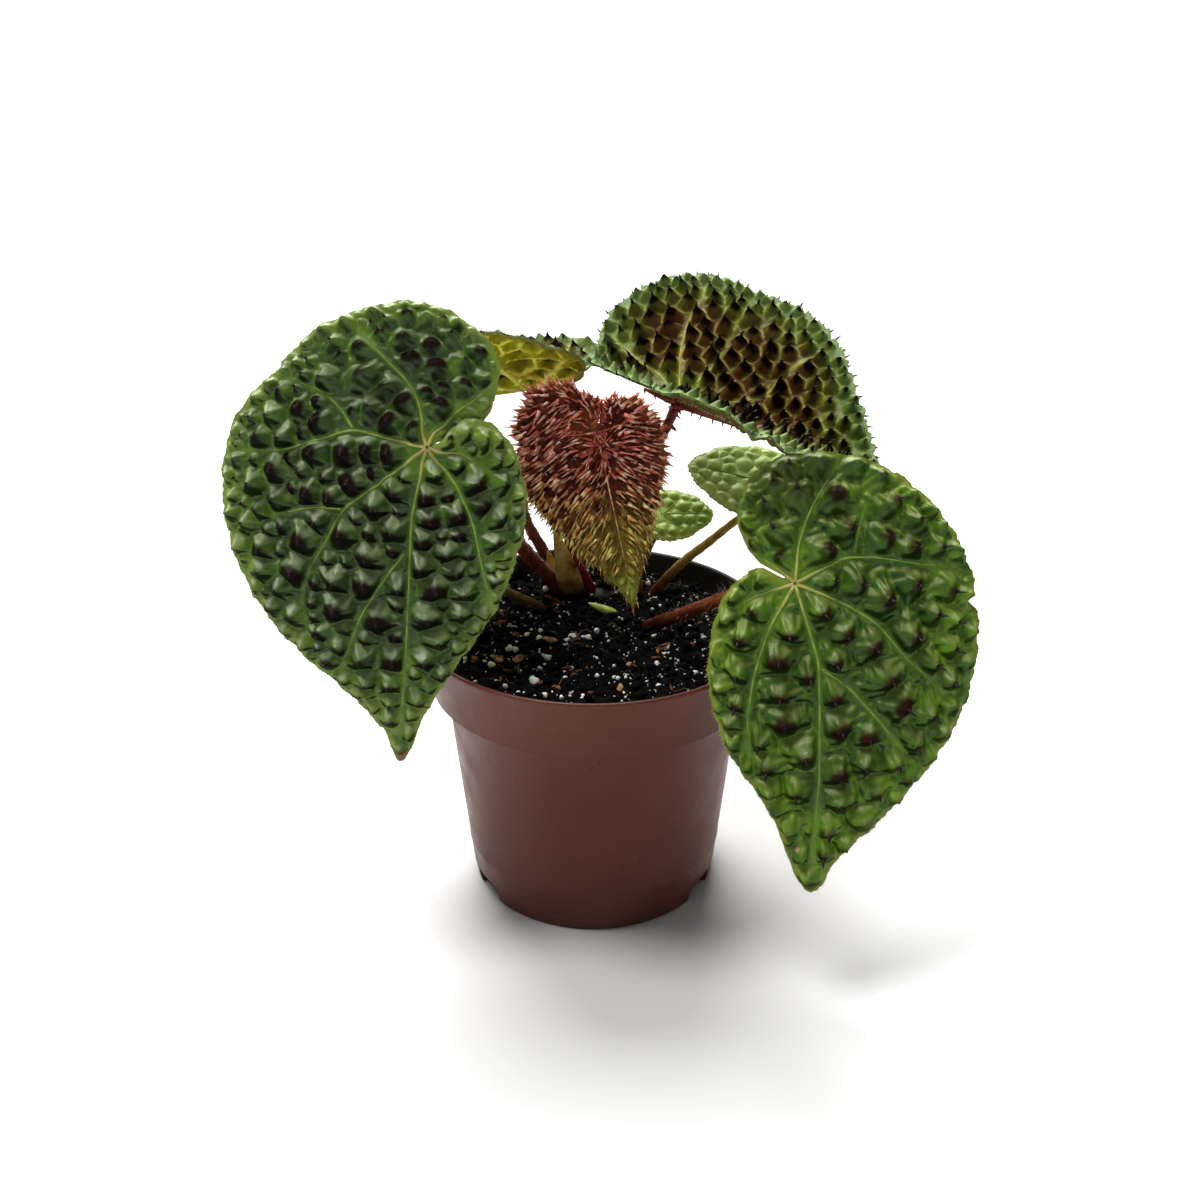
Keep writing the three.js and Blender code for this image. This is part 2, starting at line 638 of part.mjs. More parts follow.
// The mix fills the pot to just under its rim, lumpy on top, with chips and white grains
function mixGeometry() {
  const sides = 28;
  const rings = 7;
  const slack = wallThickness + seatGap;
  const innerFoot = baseRadius - slack - 0.4;
  const innerNeck = wallTopRadius - slack - 0.3;
  const innerTop = collarFootRadius - slack - 0.2;
  const profile = [
    [innerFoot, floorThickness + seatGap], [innerNeck, collarFoot - 1.5], [innerNeck, collarFoot + 1],
    [innerTop, collarFoot + 3], [innerTop + 1.6, soilTop - 0.6],
  ];
  const points = [new THREE.Vector3(0, 0, floorThickness + seatGap)];
  const faces = [];
  const ring = (radius, height) => {
    for (let j = 0; j < sides; j += 1) {
      const turn = (2 * Math.PI * j) / sides;
      const z = height(radius * Math.cos(turn), radius * Math.sin(turn));
      points.push(new THREE.Vector3(radius * Math.cos(turn), radius * Math.sin(turn), z));
    }
  };
  for (const [radius, z] of profile) ring(radius, () => z);
  const lumps = (x, y) => soilTop + 0.9 * Math.sin(0.31 * x + 1.3) * Math.cos(0.27 * y)
    + 0.7 * Math.sin(0.83 * x - 0.6 * y) + 0.5 * Math.cos(1.1 * y + 0.4 * x) - 0.3;
  for (let k = rings - 1; k > 0; k -= 1) ring(((innerTop + 0.9) * k) / rings, lumps);
  points.push(new THREE.Vector3(0, 0, lumps(0, 0)));
  const total = profile.length + rings - 1;
  for (let k = 0; k < total - 1; k += 1) {
    for (let j = 0; j < sides; j += 1) {
      const a = 1 + k * sides + j;
      const b = 1 + k * sides + ((j + 1) % sides);
      faces.push([a, b, b + sides], [a, b + sides, a + sides]);
    }
  }
  const last = points.length - 1;
  for (let j = 0; j < sides; j += 1) {
    const next = (j + 1) % sides;
    faces.push([0, 1 + next, 1 + j]);
    faces.push([last, 1 + (total - 1) * sides + j, 1 + (total - 1) * sides + next]);
  }
  return fromLists(points, faces);
}

const grainCount = 24;
const chipCount = 9;
const grainSpread = 50;
let mix = toSolid(mixGeometry());
const scatter = seeded(4711);
for (let i = 0; i < grainCount + chipCount; i += 1) {
  const turn = 2 * Math.PI * scatter();
  const radius = grainSpread * Math.sqrt(scatter());
  const size = 1.3 + 0.8 * scatter();
  const chip = i >= grainCount;
  const grain = chip
    ? new THREE.BoxGeometry(size * 3.4, size * 1.3, size)
    : new THREE.OctahedronGeometry(size);
  grain.rotateX(0.5 * scatter());
  grain.rotateY(0.5 * scatter());
  grain.rotateZ(Math.PI * scatter());
  grain.translate(radius * Math.cos(turn), radius * Math.sin(turn), soilTop + 0.3);
  mix = mix.add(toSolid(grain));
}
mix = mix.subtract(toSolid(bodyGeometry(rhizome, clearance)));
for (const leaflet of bracts) mix = mix.subtract(toSolid(bodyGeometry(leaflet, clearance)));
for (const hole of holes) mix = mix.subtract(hole);
mix = mix.subtract(toSolid(bodyGeometry(sprout, clearance)));
mix = largest(mix);

// The pot: a thin moulded wall with a collar, and drain notches at the foot
function potSolid() {
  const inner = wallThickness;
  const profile = [
    [0, 0], [baseRadius - 0.8, 0], [baseRadius, 0.8], [wallTopRadius, collarFoot - 0.4],
    [collarFootRadius - 0.4, collarFoot - 0.4], [collarFootRadius, collarFoot + 0.3],
    [rimRadius - 1, potHeight - 1.8], [rimRadius, potHeight - 1.4], [rimRadius, potHeight - 0.3],
    [rimRadius - 0.4, potHeight], [rimRadius - inner, potHeight],
    [rimRadius - inner - 0.6, potHeight - 1.6], [collarFootRadius - inner, collarFoot + 1.8],
    [wallTopRadius - inner, collarFoot + 0.6], [wallTopRadius - inner, collarFoot - 0.4],
    [baseRadius - inner - 0.3, floorThickness], [0, floorThickness],
  ];
  const lathe = new THREE.LatheGeometry(profile.map(([r, z]) => new THREE.Vector2(r, z)), potSides);
  lathe.rotateX(Math.PI / 2);
  let pot = toSolid(lathe);
  for (let k = 0; k < drainCount; k += 1) {
    const notch = new THREE.BoxGeometry(drainWidth, 2 * drainDepth, 2 * drainHeight);
    notch.translate(0, -baseRadius - 0.6, 0);
    notch.rotateZ(((2 * k + 1) * Math.PI) / drainCount);
    pot = pot.subtract(toSolid(notch));
  }
  return pot;
}

addPiece('pot', toGeometry(potSolid()), finish(0x5a3a33, 0.45));
addPiece('potting_mix', toGeometry(mix), finish(0x17120f, 0.95));
addPiece('rhizome_with_bracts', toGeometry(crown), finish(0x7a6136, 0.7));
addPiece('sprout', bodyGeometry(sprout), finish(0x6d7f35, 0.6));
for (const leaf of leaves) addPiece(leaf.name, bladeGeometry(leaf), finish(leaf.colour, 0.5));
for (const stalk of stalks) addPiece(stalk.name, stalkGeometry(stalk), finish(stalk.colour, 0.6));

export default plant;
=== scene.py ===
"""A young Begonia ferox in its nursery pot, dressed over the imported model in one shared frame.

Metres, +Z up, origin on the pot's axis where it stands. The photographed front faces -Y.
Sections follow the plant as it stands: studio, pot, potting mix, rhizome, leaves, stalks.
"""

import math
from types import SimpleNamespace

import bmesh
import bpy
import numpy as np
from mathutils import Matrix, Vector
from mathutils.kdtree import KDTree


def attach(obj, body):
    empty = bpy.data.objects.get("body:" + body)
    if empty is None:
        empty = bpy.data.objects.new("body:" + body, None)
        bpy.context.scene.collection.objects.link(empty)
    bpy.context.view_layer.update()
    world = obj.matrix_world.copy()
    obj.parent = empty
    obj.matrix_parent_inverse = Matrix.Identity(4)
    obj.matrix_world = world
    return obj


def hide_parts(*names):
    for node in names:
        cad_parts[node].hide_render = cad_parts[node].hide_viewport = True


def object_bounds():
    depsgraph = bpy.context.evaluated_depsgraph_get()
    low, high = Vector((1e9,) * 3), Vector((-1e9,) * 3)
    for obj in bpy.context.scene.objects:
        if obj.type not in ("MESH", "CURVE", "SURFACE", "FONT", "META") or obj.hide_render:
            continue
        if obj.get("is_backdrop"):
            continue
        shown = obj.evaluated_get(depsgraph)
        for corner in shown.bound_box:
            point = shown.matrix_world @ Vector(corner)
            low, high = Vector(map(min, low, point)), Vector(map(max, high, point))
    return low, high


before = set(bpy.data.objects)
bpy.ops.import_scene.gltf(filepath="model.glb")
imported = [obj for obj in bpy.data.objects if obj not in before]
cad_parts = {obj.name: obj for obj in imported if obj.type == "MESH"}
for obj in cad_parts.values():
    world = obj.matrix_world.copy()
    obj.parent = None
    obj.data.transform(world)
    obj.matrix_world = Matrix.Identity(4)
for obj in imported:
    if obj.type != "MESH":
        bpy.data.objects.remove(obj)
cad_low, cad_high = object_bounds()
scene = bpy.context.scene
MM = 0.001


# Studio: a pale floor under a white sky, a broad soft light high at the left and another behind,
# which throws the grey shadow in front of the pot. The camera stands 441 mm in front of the pot's
# axis and looks 25.6 degrees down.
def colour(code):
    """A colour written as on paper, #rrggbb, in the linear values that a shader takes."""
    parts = [int(code[k : k + 2], 16) / 255 for k in (1, 3, 5)]
    return [p / 12.92 if p < 0.04045 else ((p + 0.055) / 1.055) ** 2.4 for p in parts] + [1.0]


def fed(tree, socket, value):
    """Gives a socket a number, a colour code or another node's output."""
    if isinstance(value, bpy.types.NodeSocket):
        tree.links.new(value, socket)
    else:
        socket.default_value = colour(value) if isinstance(value, str) else value


def wired(tree, kind, sockets=(), **settings):
    """The outputs of a new shader node, with its settings and what feeds its sockets."""
    made = tree.nodes.new("ShaderNode" + kind)
    for name, value in settings.items():
        setattr(made, name, value)
    for socket, value in dict(sockets).items():
        fed(tree, made.inputs[socket], value)
    return made.outputs


def fade(tree, value, low, high, start=0.0, end=1.0, way="LINEAR"):
    """A value carried from one range to another."""
    limits = {"Value": value, "From Min": low, "From Max": high, "To Min": start, "To Max": end}
    return wired(tree, "MapRange", limits, interpolation_type=way)["Result"]


def painted(finish, value, socket="Base Color"):
    """Feeds one socket of a finish's shader."""
    fed(finish.node_tree, finish.node_tree.nodes["Principled BSDF"].inputs[socket], value)


def material(name, base, roughness=0.6):
    """A new finish of one colour."""
    made = bpy.data.materials.new(name)
    made.use_nodes = True
    made.diffuse_color = colour(base)
    painted(made, base)
    painted(made, roughness, "Roughness")
    return made


def linked(name, data):
    """A new object in the scene, at the origin."""
    made = bpy.data.objects.new(name, data)
    scene.collection.objects.link(made)
    return made


def to_object(name, bm, *finishes, sharp=180):
    """Makes a bmesh an object; edges bent by more than sharp degrees stay crisp."""
    bm.normal_update()
    for face in bm.faces:
        face.smooth = True
    for edge in bm.edges:
        edge.smooth = len(edge.link_faces) == 2 and edge.calc_face_angle(0) < math.radians(sharp)
    mesh = bpy.data.meshes.new(name)
    bm.to_mesh(mesh)
    bm.free()
    for finish in finishes:
        mesh.materials.append(finish)
    return linked(name, mesh)


bm = bmesh.new()
bmesh.ops.create_grid(bm, x_segments=4, y_segments=4, size=9)
to_object("studio_floor", bm, material("studio_floor", "#e6e6e5", 0.9), sharp=40)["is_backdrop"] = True

camera = linked("camera", bpy.data.cameras.new("camera"))
camera.location = (0.0022, -0.4408, 0.3165)
camera.rotation_euler = (math.radians(90 - 25.62), 0, 0)
camera.data.sensor_width = 36
camera.data.lens = 1443.7 / 1200 * 36
camera.data.clip_start = 0.01
scene.camera = camera

for name, place, spread, strength in (
    ("key_light", (-0.35, -0.02, 0.93), 20, 1.8),
    ("back_light", (-0.12, 0.6, 0.78), 42, 4.2),
):
    lamp = linked(name, bpy.data.lights.new(name, "SUN"))
    lamp.data.energy = strength
    lamp.data.angle = math.radians(spread)
    lamp.rotation_euler = Vector(place).to_track_quat("Z", "Y").to_euler()

scene.world = bpy.data.worlds.new("white_sky")
scene.world.use_nodes = True
sky = scene.world.node_tree
climb = wired(sky, "SeparateXYZ", {"Vector": wired(sky, "TexCoord")["Generated"]})["Z"]
fed(sky, sky.nodes["Background"].inputs["Strength"], fade(sky, climb, 0, 1, 0.08, 0.36))
fed(sky, sky.nodes["Background"].inputs["Color"], "#ffffff")
scene.view_settings.view_transform = "Standard"
scene.view_settings.gamma = 0.84


# Pot: thin red-brown plastic moulded in one piece, with a collar under a small rolled lip and a
# flat foot cut by three drain notches. It is satin, faintly dusty, and scuffed where it was held.
pot_profile = [
    (0, 0), (41.6, 0), (42.6, 0.3), (43, 1.1), (43.65, 5.4), (43.85, 5.8), (43.8, 6.2), (44.1, 8),
    (44.9, 15.4), (45.15, 16), (45.0, 16.6), (50.85, 75.6), (51.1, 76.2), (51.6, 76.4), (55.1, 76.4),
    (55.6, 76.7), (55.62, 77.4), (59.05, 96.6), (59.3, 97.1), (59.9, 97.3), (60, 97.7), (59.95, 98.3),
    (59.7, 98.55), (59.2, 98.6), (58.7, 98.5), (58.35, 98.1), (57.8, 97), (53.9, 78.6), (53.4, 77.8),
    (49.6, 77.3), (49.3, 76.6), (41.3, 3.4), (40.6, 2.6), (0, 2.6),
]
inner_floor = 3
drain_turns, drain_reach, drain_size, drain_rounding = (60, 180, 300), 43.6, (14, 14, 13), 2.2


def turned(profile, steps):
    """A profile of radius and height in mm, spun once round the upright axis."""
    bm = bmesh.new()
    rim = [bm.verts.new((r * MM, 0, z * MM)) for r, z in profile]
    line = [bm.edges.new(pair) for pair in zip(rim, rim[1:])]
    bmesh.ops.spin(
        bm, geom=rim + line, cent=(0, 0, 0), axis=(0, 0, 1), angle=2 * math.pi, steps=steps,
        use_merge=True, use_duplicate=False,
    )
    bmesh.ops.remove_doubles(bm, verts=bm.verts, dist=1e-6)
    bmesh.ops.recalc_face_normals(bm, faces=bm.faces)
    return bm


def baked(made):
    """The mesh of an object with its modifiers, or of a curve with its bevel."""
    return bpy.data.meshes.new_from_object(made.evaluated_get(bpy.context.evaluated_depsgraph_get()))


def noise(tree, scale, detail=4.0, distortion=0.0):
    """Noise fixed in the object's own coordinates, scale in cells per metre."""
    sockets = {"Vector": wired(tree, "TexCoord")["Object"], "Scale": scale, "Detail": detail}
    return wired(tree, "TexNoise", {**sockets, "Distortion": distortion})["Fac"]


def ramp(tree, source, *stops):
    """A colour ramp over a value; stops are (position, colour code)."""
    made = tree.nodes.new("ShaderNodeValToRGB")
    marks = made.color_ramp.elements
    for mark, (place, code) in zip(marks, (stops[0], stops[-1])):
        mark.position, mark.color = place, colour(code)
    for place, code in stops[1:-1]:
        marks.new(place).color = colour(code)
    tree.links.new(source, made.inputs["Fac"])
    return made.outputs["Color"]


def mixed(tree, first, second, amount, mode="MIX"):
    """Two colours mixed; each is a colour code or a socket, amount a number or a socket."""
    sockets = {0: amount, 6: first, 7: second}
    return wired(tree, "Mix", sockets, data_type="RGBA", blend_type=mode)[2]


def bumped(finish, height, depth):
    """Relief from a height value, depth in metres."""
    sockets = {"Height": height, "Distance": depth}
    painted(finish, wired(finish.node_tree, "Bump", sockets)["Normal"], "Normal")


def dressed(piece, slot, *nodes):
    """Lets a piece ride on the one body, in place of the named nodes, which it hides. The slot is not used.
    """
    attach(piece, "root")
    if nodes:
        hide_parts(*nodes)


pot_plastic = material("pot_plastic", "#5c3b33", 0.42)
tree = pot_plastic.node_tree
tone = ramp(tree, noise(tree, 22), (0.3, "#623528"), (0.7, "#6e3f31"))
scuffs = ramp(tree, noise(tree, 340, 6, 1.5), (0.6, "#000000"), (0.72, "#ffffff"))
patches = ramp(tree, noise(tree, 40), (0.45, "#000000"), (0.7, "#ffffff"))
dust = mixed(tree, "#000000", mixed(tree, "#000000", scuffs, patches), 0.2)
painted(pot_plastic, mixed(tree, tone, "#9a837b", dust))
painted(pot_plastic, ramp(tree, noise(tree, 90, 5), (0.3, "#8a8a8a"), (0.7, "#b4b4b4")), "Roughness")
painted(pot_plastic, 0.3, "Specular IOR Level")
bumped(pot_plastic, noise(tree, 700, 3), 0.00006)

bm = turned(pot_profile, 144)
# Faces of the inner wall above the floor take a near-black brown, painted shade inside the pot.
for face in bm.faces:
    middle = face.calc_center_median()
    face.material_index = int(middle.z > inner_floor * MM and face.normal.xy.dot(middle.xy) < 0)
pot = to_object("nursery_pot", bm, pot_plastic, material("pot_inside_painted_shade", "#1c1210"), sharp=50)
for turn in drain_turns:
    swung = Matrix.Rotation(math.radians(turn - 90), 4, "Z")
    outward = swung @ Vector((1, 0, 0))
    size = Matrix.Diagonal([*(k * MM for k in drain_size), 1])
    bm = bmesh.new()
    bmesh.ops.create_cube(bm, size=1, matrix=swung @ Matrix.Translation((drain_reach * MM, 0, 0)) @ size)
    upper = [edge for edge in bm.edges if edge.verts[0].co.z > 0
             and abs((edge.verts[0].co - edge.verts[1].co).normalized().dot(outward)) > 0.7]
    bmesh.ops.bevel(bm, geom=upper, offset=drain_rounding * MM, offset_type="OFFSET", affect="EDGES",
                    segments=4, profile=0.5, material=-1)
    cutter = to_object("drain_cutter", bm, sharp=40)
    cut = pot.modifiers.new("drain", "BOOLEAN")
    cut.operation, cut.solver, cut.object = "DIFFERENCE", "EXACT", cutter
    notched = baked(pot)
    pot.modifiers.clear()
    pot.data = notched
    bpy.data.objects.remove(cutter)
dressed(pot, "pot", "pot")


# Potting mix: moist peat and fine bark, filled to just under the rim and lumpy on top, with white
# perlite grains, a few bark slivers, tan flakes and pale root fibres lying in it.
soil_top, soil_reach = 92, 54.5
mix_profile = [(0, 2.9), (40.7, 2.9), (48.7, 75.3), (48.7, 77.8), (53.2, 79.8), (56.0, 90.2), (56.2, 91.5)]
mix_profile += [(56.2 * k / 48, soil_top) for k in range(47, -1, -1)]


def crumbled(x, y):
    """Height of the mix at a point, in mm: wide lumps with finer crumb on them."""
    wide = 0.9 * np.sin(0.31 * x + 1.3) * np.cos(0.27 * y) + 0.7 * np.sin(0.83 * x - 0.6 * y)
    fine = np.sin(1.9 * x + 2.3 * np.sin(0.9 * y)) * np.cos(2.2 * y + 1.7 * np.sin(1.1 * x))
    finer = np.sin(4.1 * x - 3.3 * y) * np.cos(3.7 * y + 2.9 * x)
    return soil_top - 0.3 + wide + 0.5 * np.cos(1.1 * y + 0.4 * x) + 0.45 * fine + 0.3 * finer


def settled(spots):
    """Lays the top of the mix on its lumps and leaves its sides alone."""
    reach = np.hypot(spots[:, 0], spots[:, 1])
    top = (spots[:, 2] > soil_top - 1) * np.clip((57.5 - reach) / 3, 0, 1)
    spots[:, 2] += top * (crumbled(spots[:, 0], spots[:, 1]) - spots[:, 2])
    return spots


def reshaped(made, move):
    """Moves every vertex of an object by a rule on an array of places in mm."""
    flat = np.empty(len(made.data.vertices) * 3)
    made.data.vertices.foreach_get("co", flat)
    made.data.vertices.foreach_set("co", (np.asarray(move(flat.reshape(-1, 3) / MM)) * MM).ravel())
    made.data.update()


def copied(name, template, places, finish):
    """One mesh made of copies of a small bmesh shape, one for each matrix, in mm."""
    template.verts.index_update()
    corners = np.array([v.co[:] for v in template.verts])
    faces = [[v.index for v in face.verts] for face in template.faces]
    turns, shifts = np.array([m.to_3x3() for m in places]), np.array([m.to_translation() for m in places])
    spots = np.einsum("nij,kj->nki", turns, corners) + shifts[:, None, :]
    copies = [[c + k * len(corners) for c in face] for k in range(len(places)) for face in faces]
    template.free()
    mesh = bpy.data.meshes.new(name)
    mesh.from_pydata((spots.reshape(-1, 3) * MM).tolist(), [], copies)
    mesh.materials.append(finish)
    mesh.polygons.foreach_set("use_smooth", [True] * len(mesh.polygons))
    return linked(name, mesh)


def pebble(seed, subdivisions, rough):
    """An irregular grain about 1 mm in radius."""
    draw = np.random.default_rng(seed)
    grain = bmesh.new()
    bmesh.ops.create_icosphere(grain, subdivisions=subdivisions, radius=1)
    for v in grain.verts:
        v.co *= 1 + rough * (draw.random() - 0.5)
    return grain


def strewn(seed, count, small, large, flat=(1, 1, 1), spread=soil_reach, sink=0.3):
    """Places for grains lying in the mix, each turned at random, sizes in mm."""
    draw = np.random.default_rng(seed)
    places = []
    for _ in range(count):
        turn, reach = 2 * math.pi * draw.random(), spread * math.sqrt(draw.random())
        x, y = reach * math.cos(turn), reach * math.sin(turn)
        size = small + (large - small) * draw.random() ** 2
        place = Matrix.Translation((x, y, crumbled(x, y) + size * (0.5 - sink)))
        spin = Matrix.Rotation(2 * math.pi * draw.random(), 4, "Z")
        lie = spin @ Matrix.Rotation(0.7 * draw.random(), 4, "X")
        stretch = [size * f * (0.7 + 0.6 * draw.random()) for f in flat]
        places.append(place @ lie @ Matrix.Diagonal((*stretch, 1)))
    return places


def cords(name, lines, finish, around=2):
    """Tapered round cords along lines of (places in mm, radii in mm), made as one mesh."""
    curve = bpy.data.curves.new(name, "CURVE")
    curve.dimensions, curve.bevel_depth, curve.bevel_resolution = "3D", MM, around
    curve.use_fill_caps = True
    for places, radii in lines:
        spline = curve.splines.new("POLY")
        spline.points.add(len(places) - 1)
        for point, place, radius in zip(spline.points, places, radii):
            point.co = (*(np.asarray(place) * MM), 1)
            point.radius = radius
    route = linked(name, curve)
    mesh = baked(route)
    bpy.data.objects.remove(route)
    mesh.name = name
    mesh.materials.clear()
    mesh.materials.append(finish)
    return linked(name, mesh)


def mottled(name, base, roughness, scale, detail, *stops):
    """A finish whose colour follows noise."""
    made = material(name, base, roughness)
    painted(made, ramp(made.node_tree, noise(made.node_tree, scale, detail), *stops))
    return made


peat = mottled("peat", "#17110d", 0.92, 620, 6, (0.35, "#030202"), (0.62, "#0c0907"), (0.78, "#2e2018"))
painted(peat, 0.2, "Specular IOR Level")
bumped(peat, noise(peat.node_tree, 900, 6), 0.0008)
mix = to_object("potting_mix_body", turned(mix_profile, 150), peat)
reshaped(mix, settled)
dressed(mix, "mix", "potting_mix")

perlite = mottled("perlite", "#ded9cb", 0.85, 900, 4, (0.3, "#cfc8b8"), (0.5, "#f4f0e6"), (0.7, "#ffffff"))
bark = mottled("bark_slivers", "#4a3020", 0.85, 500, 4, (0.35, "#4a2c1a"), (0.7, "#a06a40"))
bumped(bark, noise(bark.node_tree, 1500, 3), 0.0003)
for name, template, places, finish in (
    ("peat_crumbs", pebble(1, 1, 0.7), strewn(11, 1500, 0.35, 1.6, (1.2, 1, 0.8)), peat),
    ("peat_crumbs_coarse", pebble(2, 1, 0.8), strewn(12, 260, 1.0, 2.4, (1.3, 1, 0.7)), peat),
    ("perlite_grains", pebble(3, 2, 0.45), strewn(13, 190, 0.4, 1.5, (1.1, 1, 0.85), 54), perlite),
    ("perlite_crumbs", pebble(4, 1, 0.5), strewn(14, 900, 0.15, 0.62, sink=0), perlite),
    ("bark_slivers", pebble(5, 1, 0.5), strewn(15, 90, 0.6, 1.5, (2.8, 0.9, 0.35), 52, 0), bark),
):
    dressed(copied(name, template, places, finish), "mix")

flake_tan = mottled("tan_flakes", "#a88a60", 0.8, 420, 4, (0.35, "#6a4428"), (0.6, "#c8a878"))
flake_marks = [(-14.8, -5.2, 2.3), (22, -11.8, 1.5), (12.4, -19.6, 1.6), (8.6, -37.9, 1.7),
               (-31.9, -18.2, 2.2), (-24.3, -17.5, 2.4)]
draw = np.random.default_rng(17)
flakes = []
for x, y, size in flake_marks:
    lie = Matrix.Rotation(math.pi * draw.random(), 4, "Z") @ Matrix.Rotation(0.5 * draw.random(), 4, "X")
    stretch = Matrix.Diagonal((1.5 * size, 0.6 * size, 0.35 * size, 1))
    flakes.append(Matrix.Translation((x, y, crumbled(x, y) + 0.25 * size)) @ lie @ stretch)
dressed(copied("tan_flakes", pebble(6, 2, 0.5), flakes, flake_tan), "mix")

draw = np.random.default_rng(16)
fibres = []
for _ in range(46):
    turn, reach, span = 2 * math.pi * draw.random(), 52 * math.sqrt(draw.random()), 3 + 6 * draw.random()
    heading, bend = 2 * math.pi * draw.random(), 0.5 * (draw.random() - 0.5)
    spots = [np.array((reach * math.cos(turn), reach * math.sin(turn)))]
    for _ in range(8):
        heading += bend
        spots.append(spots[-1] + span / 8 * np.array((math.cos(heading), math.sin(heading))))
    spots = np.array([p for p in spots if np.hypot(*p) < 54])
    if len(spots) > 3:
        tall = crumbled(*spots.T) + 0.35 + 0.5 * np.sin(np.linspace(0, math.pi, len(spots)))
        fibres.append((np.column_stack([spots, tall]), np.full(len(spots), 0.09 + 0.08 * draw.random())))
dressed(cords("root_fibres", fibres, material("root_fibres", "#8a765c", 0.7), 0), "mix")


# Rhizome: a creeping stem half sunk in the mix, with papery olive-brown bracts standing round the
# feet of the stalks, and in front of it a small green sprout. All grew from one stem.
crown_parts = [
    dict(centre=(1.5, 34.5, 88), radii=(6.5, 20, 5), taper=0.1, knobs=0.06, curl=0, turn=(0, 0, 82)),
    dict(centre=(-10.4, 27.5, 106), radii=(6.8, 18, 1.7), taper=0.93, turn=(101, -13, 0)),
    dict(centre=(-14.6, 35.6, 97.5), radii=(4.4, 10, 1.4), turn=(88, -12, 0)),
    dict(centre=(15, 29, 97), radii=(4, 9, 1.4), turn=(98, 0, 4)),
    dict(centre=(5, 38.5, 96), radii=(3.6, 9, 1.3), turn=(92, 0, 176)),
]
sprout = dict(centre=(3.2, 18.2, 92.6), radii=(2.8, 5.8, 2), taper=0.6, curl=0.8, turn=(14, 0, 78))


def rounded_bodies(*bodies):
    """Ellipsoids narrowed towards their tips, curled and turned, in mm."""
    bm = bmesh.new()
    for body in bodies:
        turn = Matrix.Identity(3)
        for angle, axis in zip(body["turn"], "XYZ"):
            turn = Matrix.Rotation(math.radians(angle), 3, axis) @ turn
        a, b, c = body["radii"]
        for v in bmesh.ops.create_icosphere(bm, subdivisions=4, radius=1)["verts"]:
            x, y, z = v.co
            high = (y + 1) / 2
            slim = 1 - body.get("taper", 0.72) * high
            knob = 1 + body.get("knobs", 0) * math.sin(9 * y + 2 * x) * math.cos(5 * z)
            rib = 1 + 0.05 * math.sin(14 * x) * math.sin(3 * y)
            curl = body.get("curl", -2) * high * high
            spot = Vector((x * a * slim * knob, y * b * knob, z * c * slim * knob * rib + curl))
            v.co = (turn @ spot + Vector(body["centre"])) * MM
    return bm


def climbing(tree, low, high):
    """From 0 at one height over the pot's foot to 1 at another, in metres."""
    place = wired(tree, "TexCoord")["Object"]
    return fade(tree, wired(tree, "SeparateXYZ", {"Vector": place})["Z"], low, high)


papery = material("papery_bracts", "#7d6a35", 0.55)
tree = papery.node_tree
paper = ramp(
    tree, noise(tree, 160, 5), (0.34, "#8a3820"), (0.42, "#c89c58"), (0.55, "#ecd080"), (0.72, "#fbeaa4"))
painted(papery, mixed(tree, "#1e1410", paper, climbing(tree, 0.093, 0.1)))
painted(papery, 0.15, "Specular IOR Level")
bumped(papery, noise(tree, 700, 3), 0.0002)
creeping = to_object("rhizome_and_bracts", rounded_bodies(*crown_parts), papery)
dressed(creeping, "rhizome", "rhizome_with_bracts")
fresh = mottled(
    "sprout_green", "#7f9a3a", 0.5, 260, 4, (0.35, "#7c9a2c"), (0.6, "#c4cc50"), (0.75, "#8a7434"))
dressed(to_object("green_sprout", rounded_bodies(sprout), fresh), "sprout", "sprout")


# Leaves: each is one thin blade round the point where its stalk joins, puckered into pointed
# blisters between a net of pale veins, with a finely toothed, hairy margin. A leaf is drawn flat
# with its sinus held open and then laid on its bent surface, in mm; angles are 270 at the tip.
degree = math.pi / 180
sinus_root, sinus_open, drawn_span, root_span, blister_tries = 3, 9, 320, 352, 4000
blade_thickness, fine_step = 0.75, 0.25
margin_waves = ((0.55, 0.3), (0.93, 0.25), (1.7, 0.14), (2.9, 0.08))


def leaf_like(kind, **own):
    """One leaf, by what its kind shares and by its own marks, in mm and degrees."""
    leaf = SimpleNamespace(**{**kind, **own})
    leaf.first, leaf.last = leaf.outline[0][0], leaf.outline[-1][0]
    leaf.span, leaf.middle = leaf.last - leaf.first, (leaf.first + leaf.last) / 2
    return leaf


def seeded(seed):
    """The plant's own draws between 0 and 1."""
    state = seed

    def draw():
        nonlocal state
        state = (state * 48271) % 2147483647
        return state / 2147483647

    return draw


def smooth(low, high, value):
    """A value eased from 0 at one limit to 1 at the other."""
    t = np.clip((value - low) / (high - low), 0, 1)
    return t * t * (3 - 2 * t)


def reach_at(leaf, angle):
    """How far the margin lies from the stalk at an angle, eased between the outline's marks."""
    marks = leaf.outline
    k = 0
    while k < len(marks) - 2 and marks[k + 1][0] < angle:
        k += 1
    around = [marks[min(max(j, 0), len(marks) - 1)] for j in range(k - 1, k + 3)]
    (a0, r0), (a1, r1), (a2, r2), (a3, r3) = around
    m1, m2, h = (r2 - r0) / (a2 - a0), (r3 - r1) / (a3 - a1), a2 - a1
    t = (angle - a1) / h
    return leaf.scale * (
        (2 * t**3 - 3 * t**2 + 1) * r1 + (t**3 - 2 * t**2 + t) * h * m1
        + (-2 * t**3 + 3 * t**2) * r2 + (t**3 - t**2) * h * m2
    )


def drawn(leaf, angle, radius):
    """A place on the flat drawing, by its angle and its reach from the stalk."""
    turn = (angle - leaf.middle) * drawn_span / leaf.span * degree
    return radius * math.cos(turn), radius * math.sin(turn)


def blade_axes(leaf):
    """Across the blade, along it away from the tip, and out of its upper face."""
    along = -Vector(leaf.tipward).normalized()
    facing = Vector(leaf.side).normalized().cross(along).normalized()
    return np.array(along.cross(facing)), np.array(along), np.array(facing)


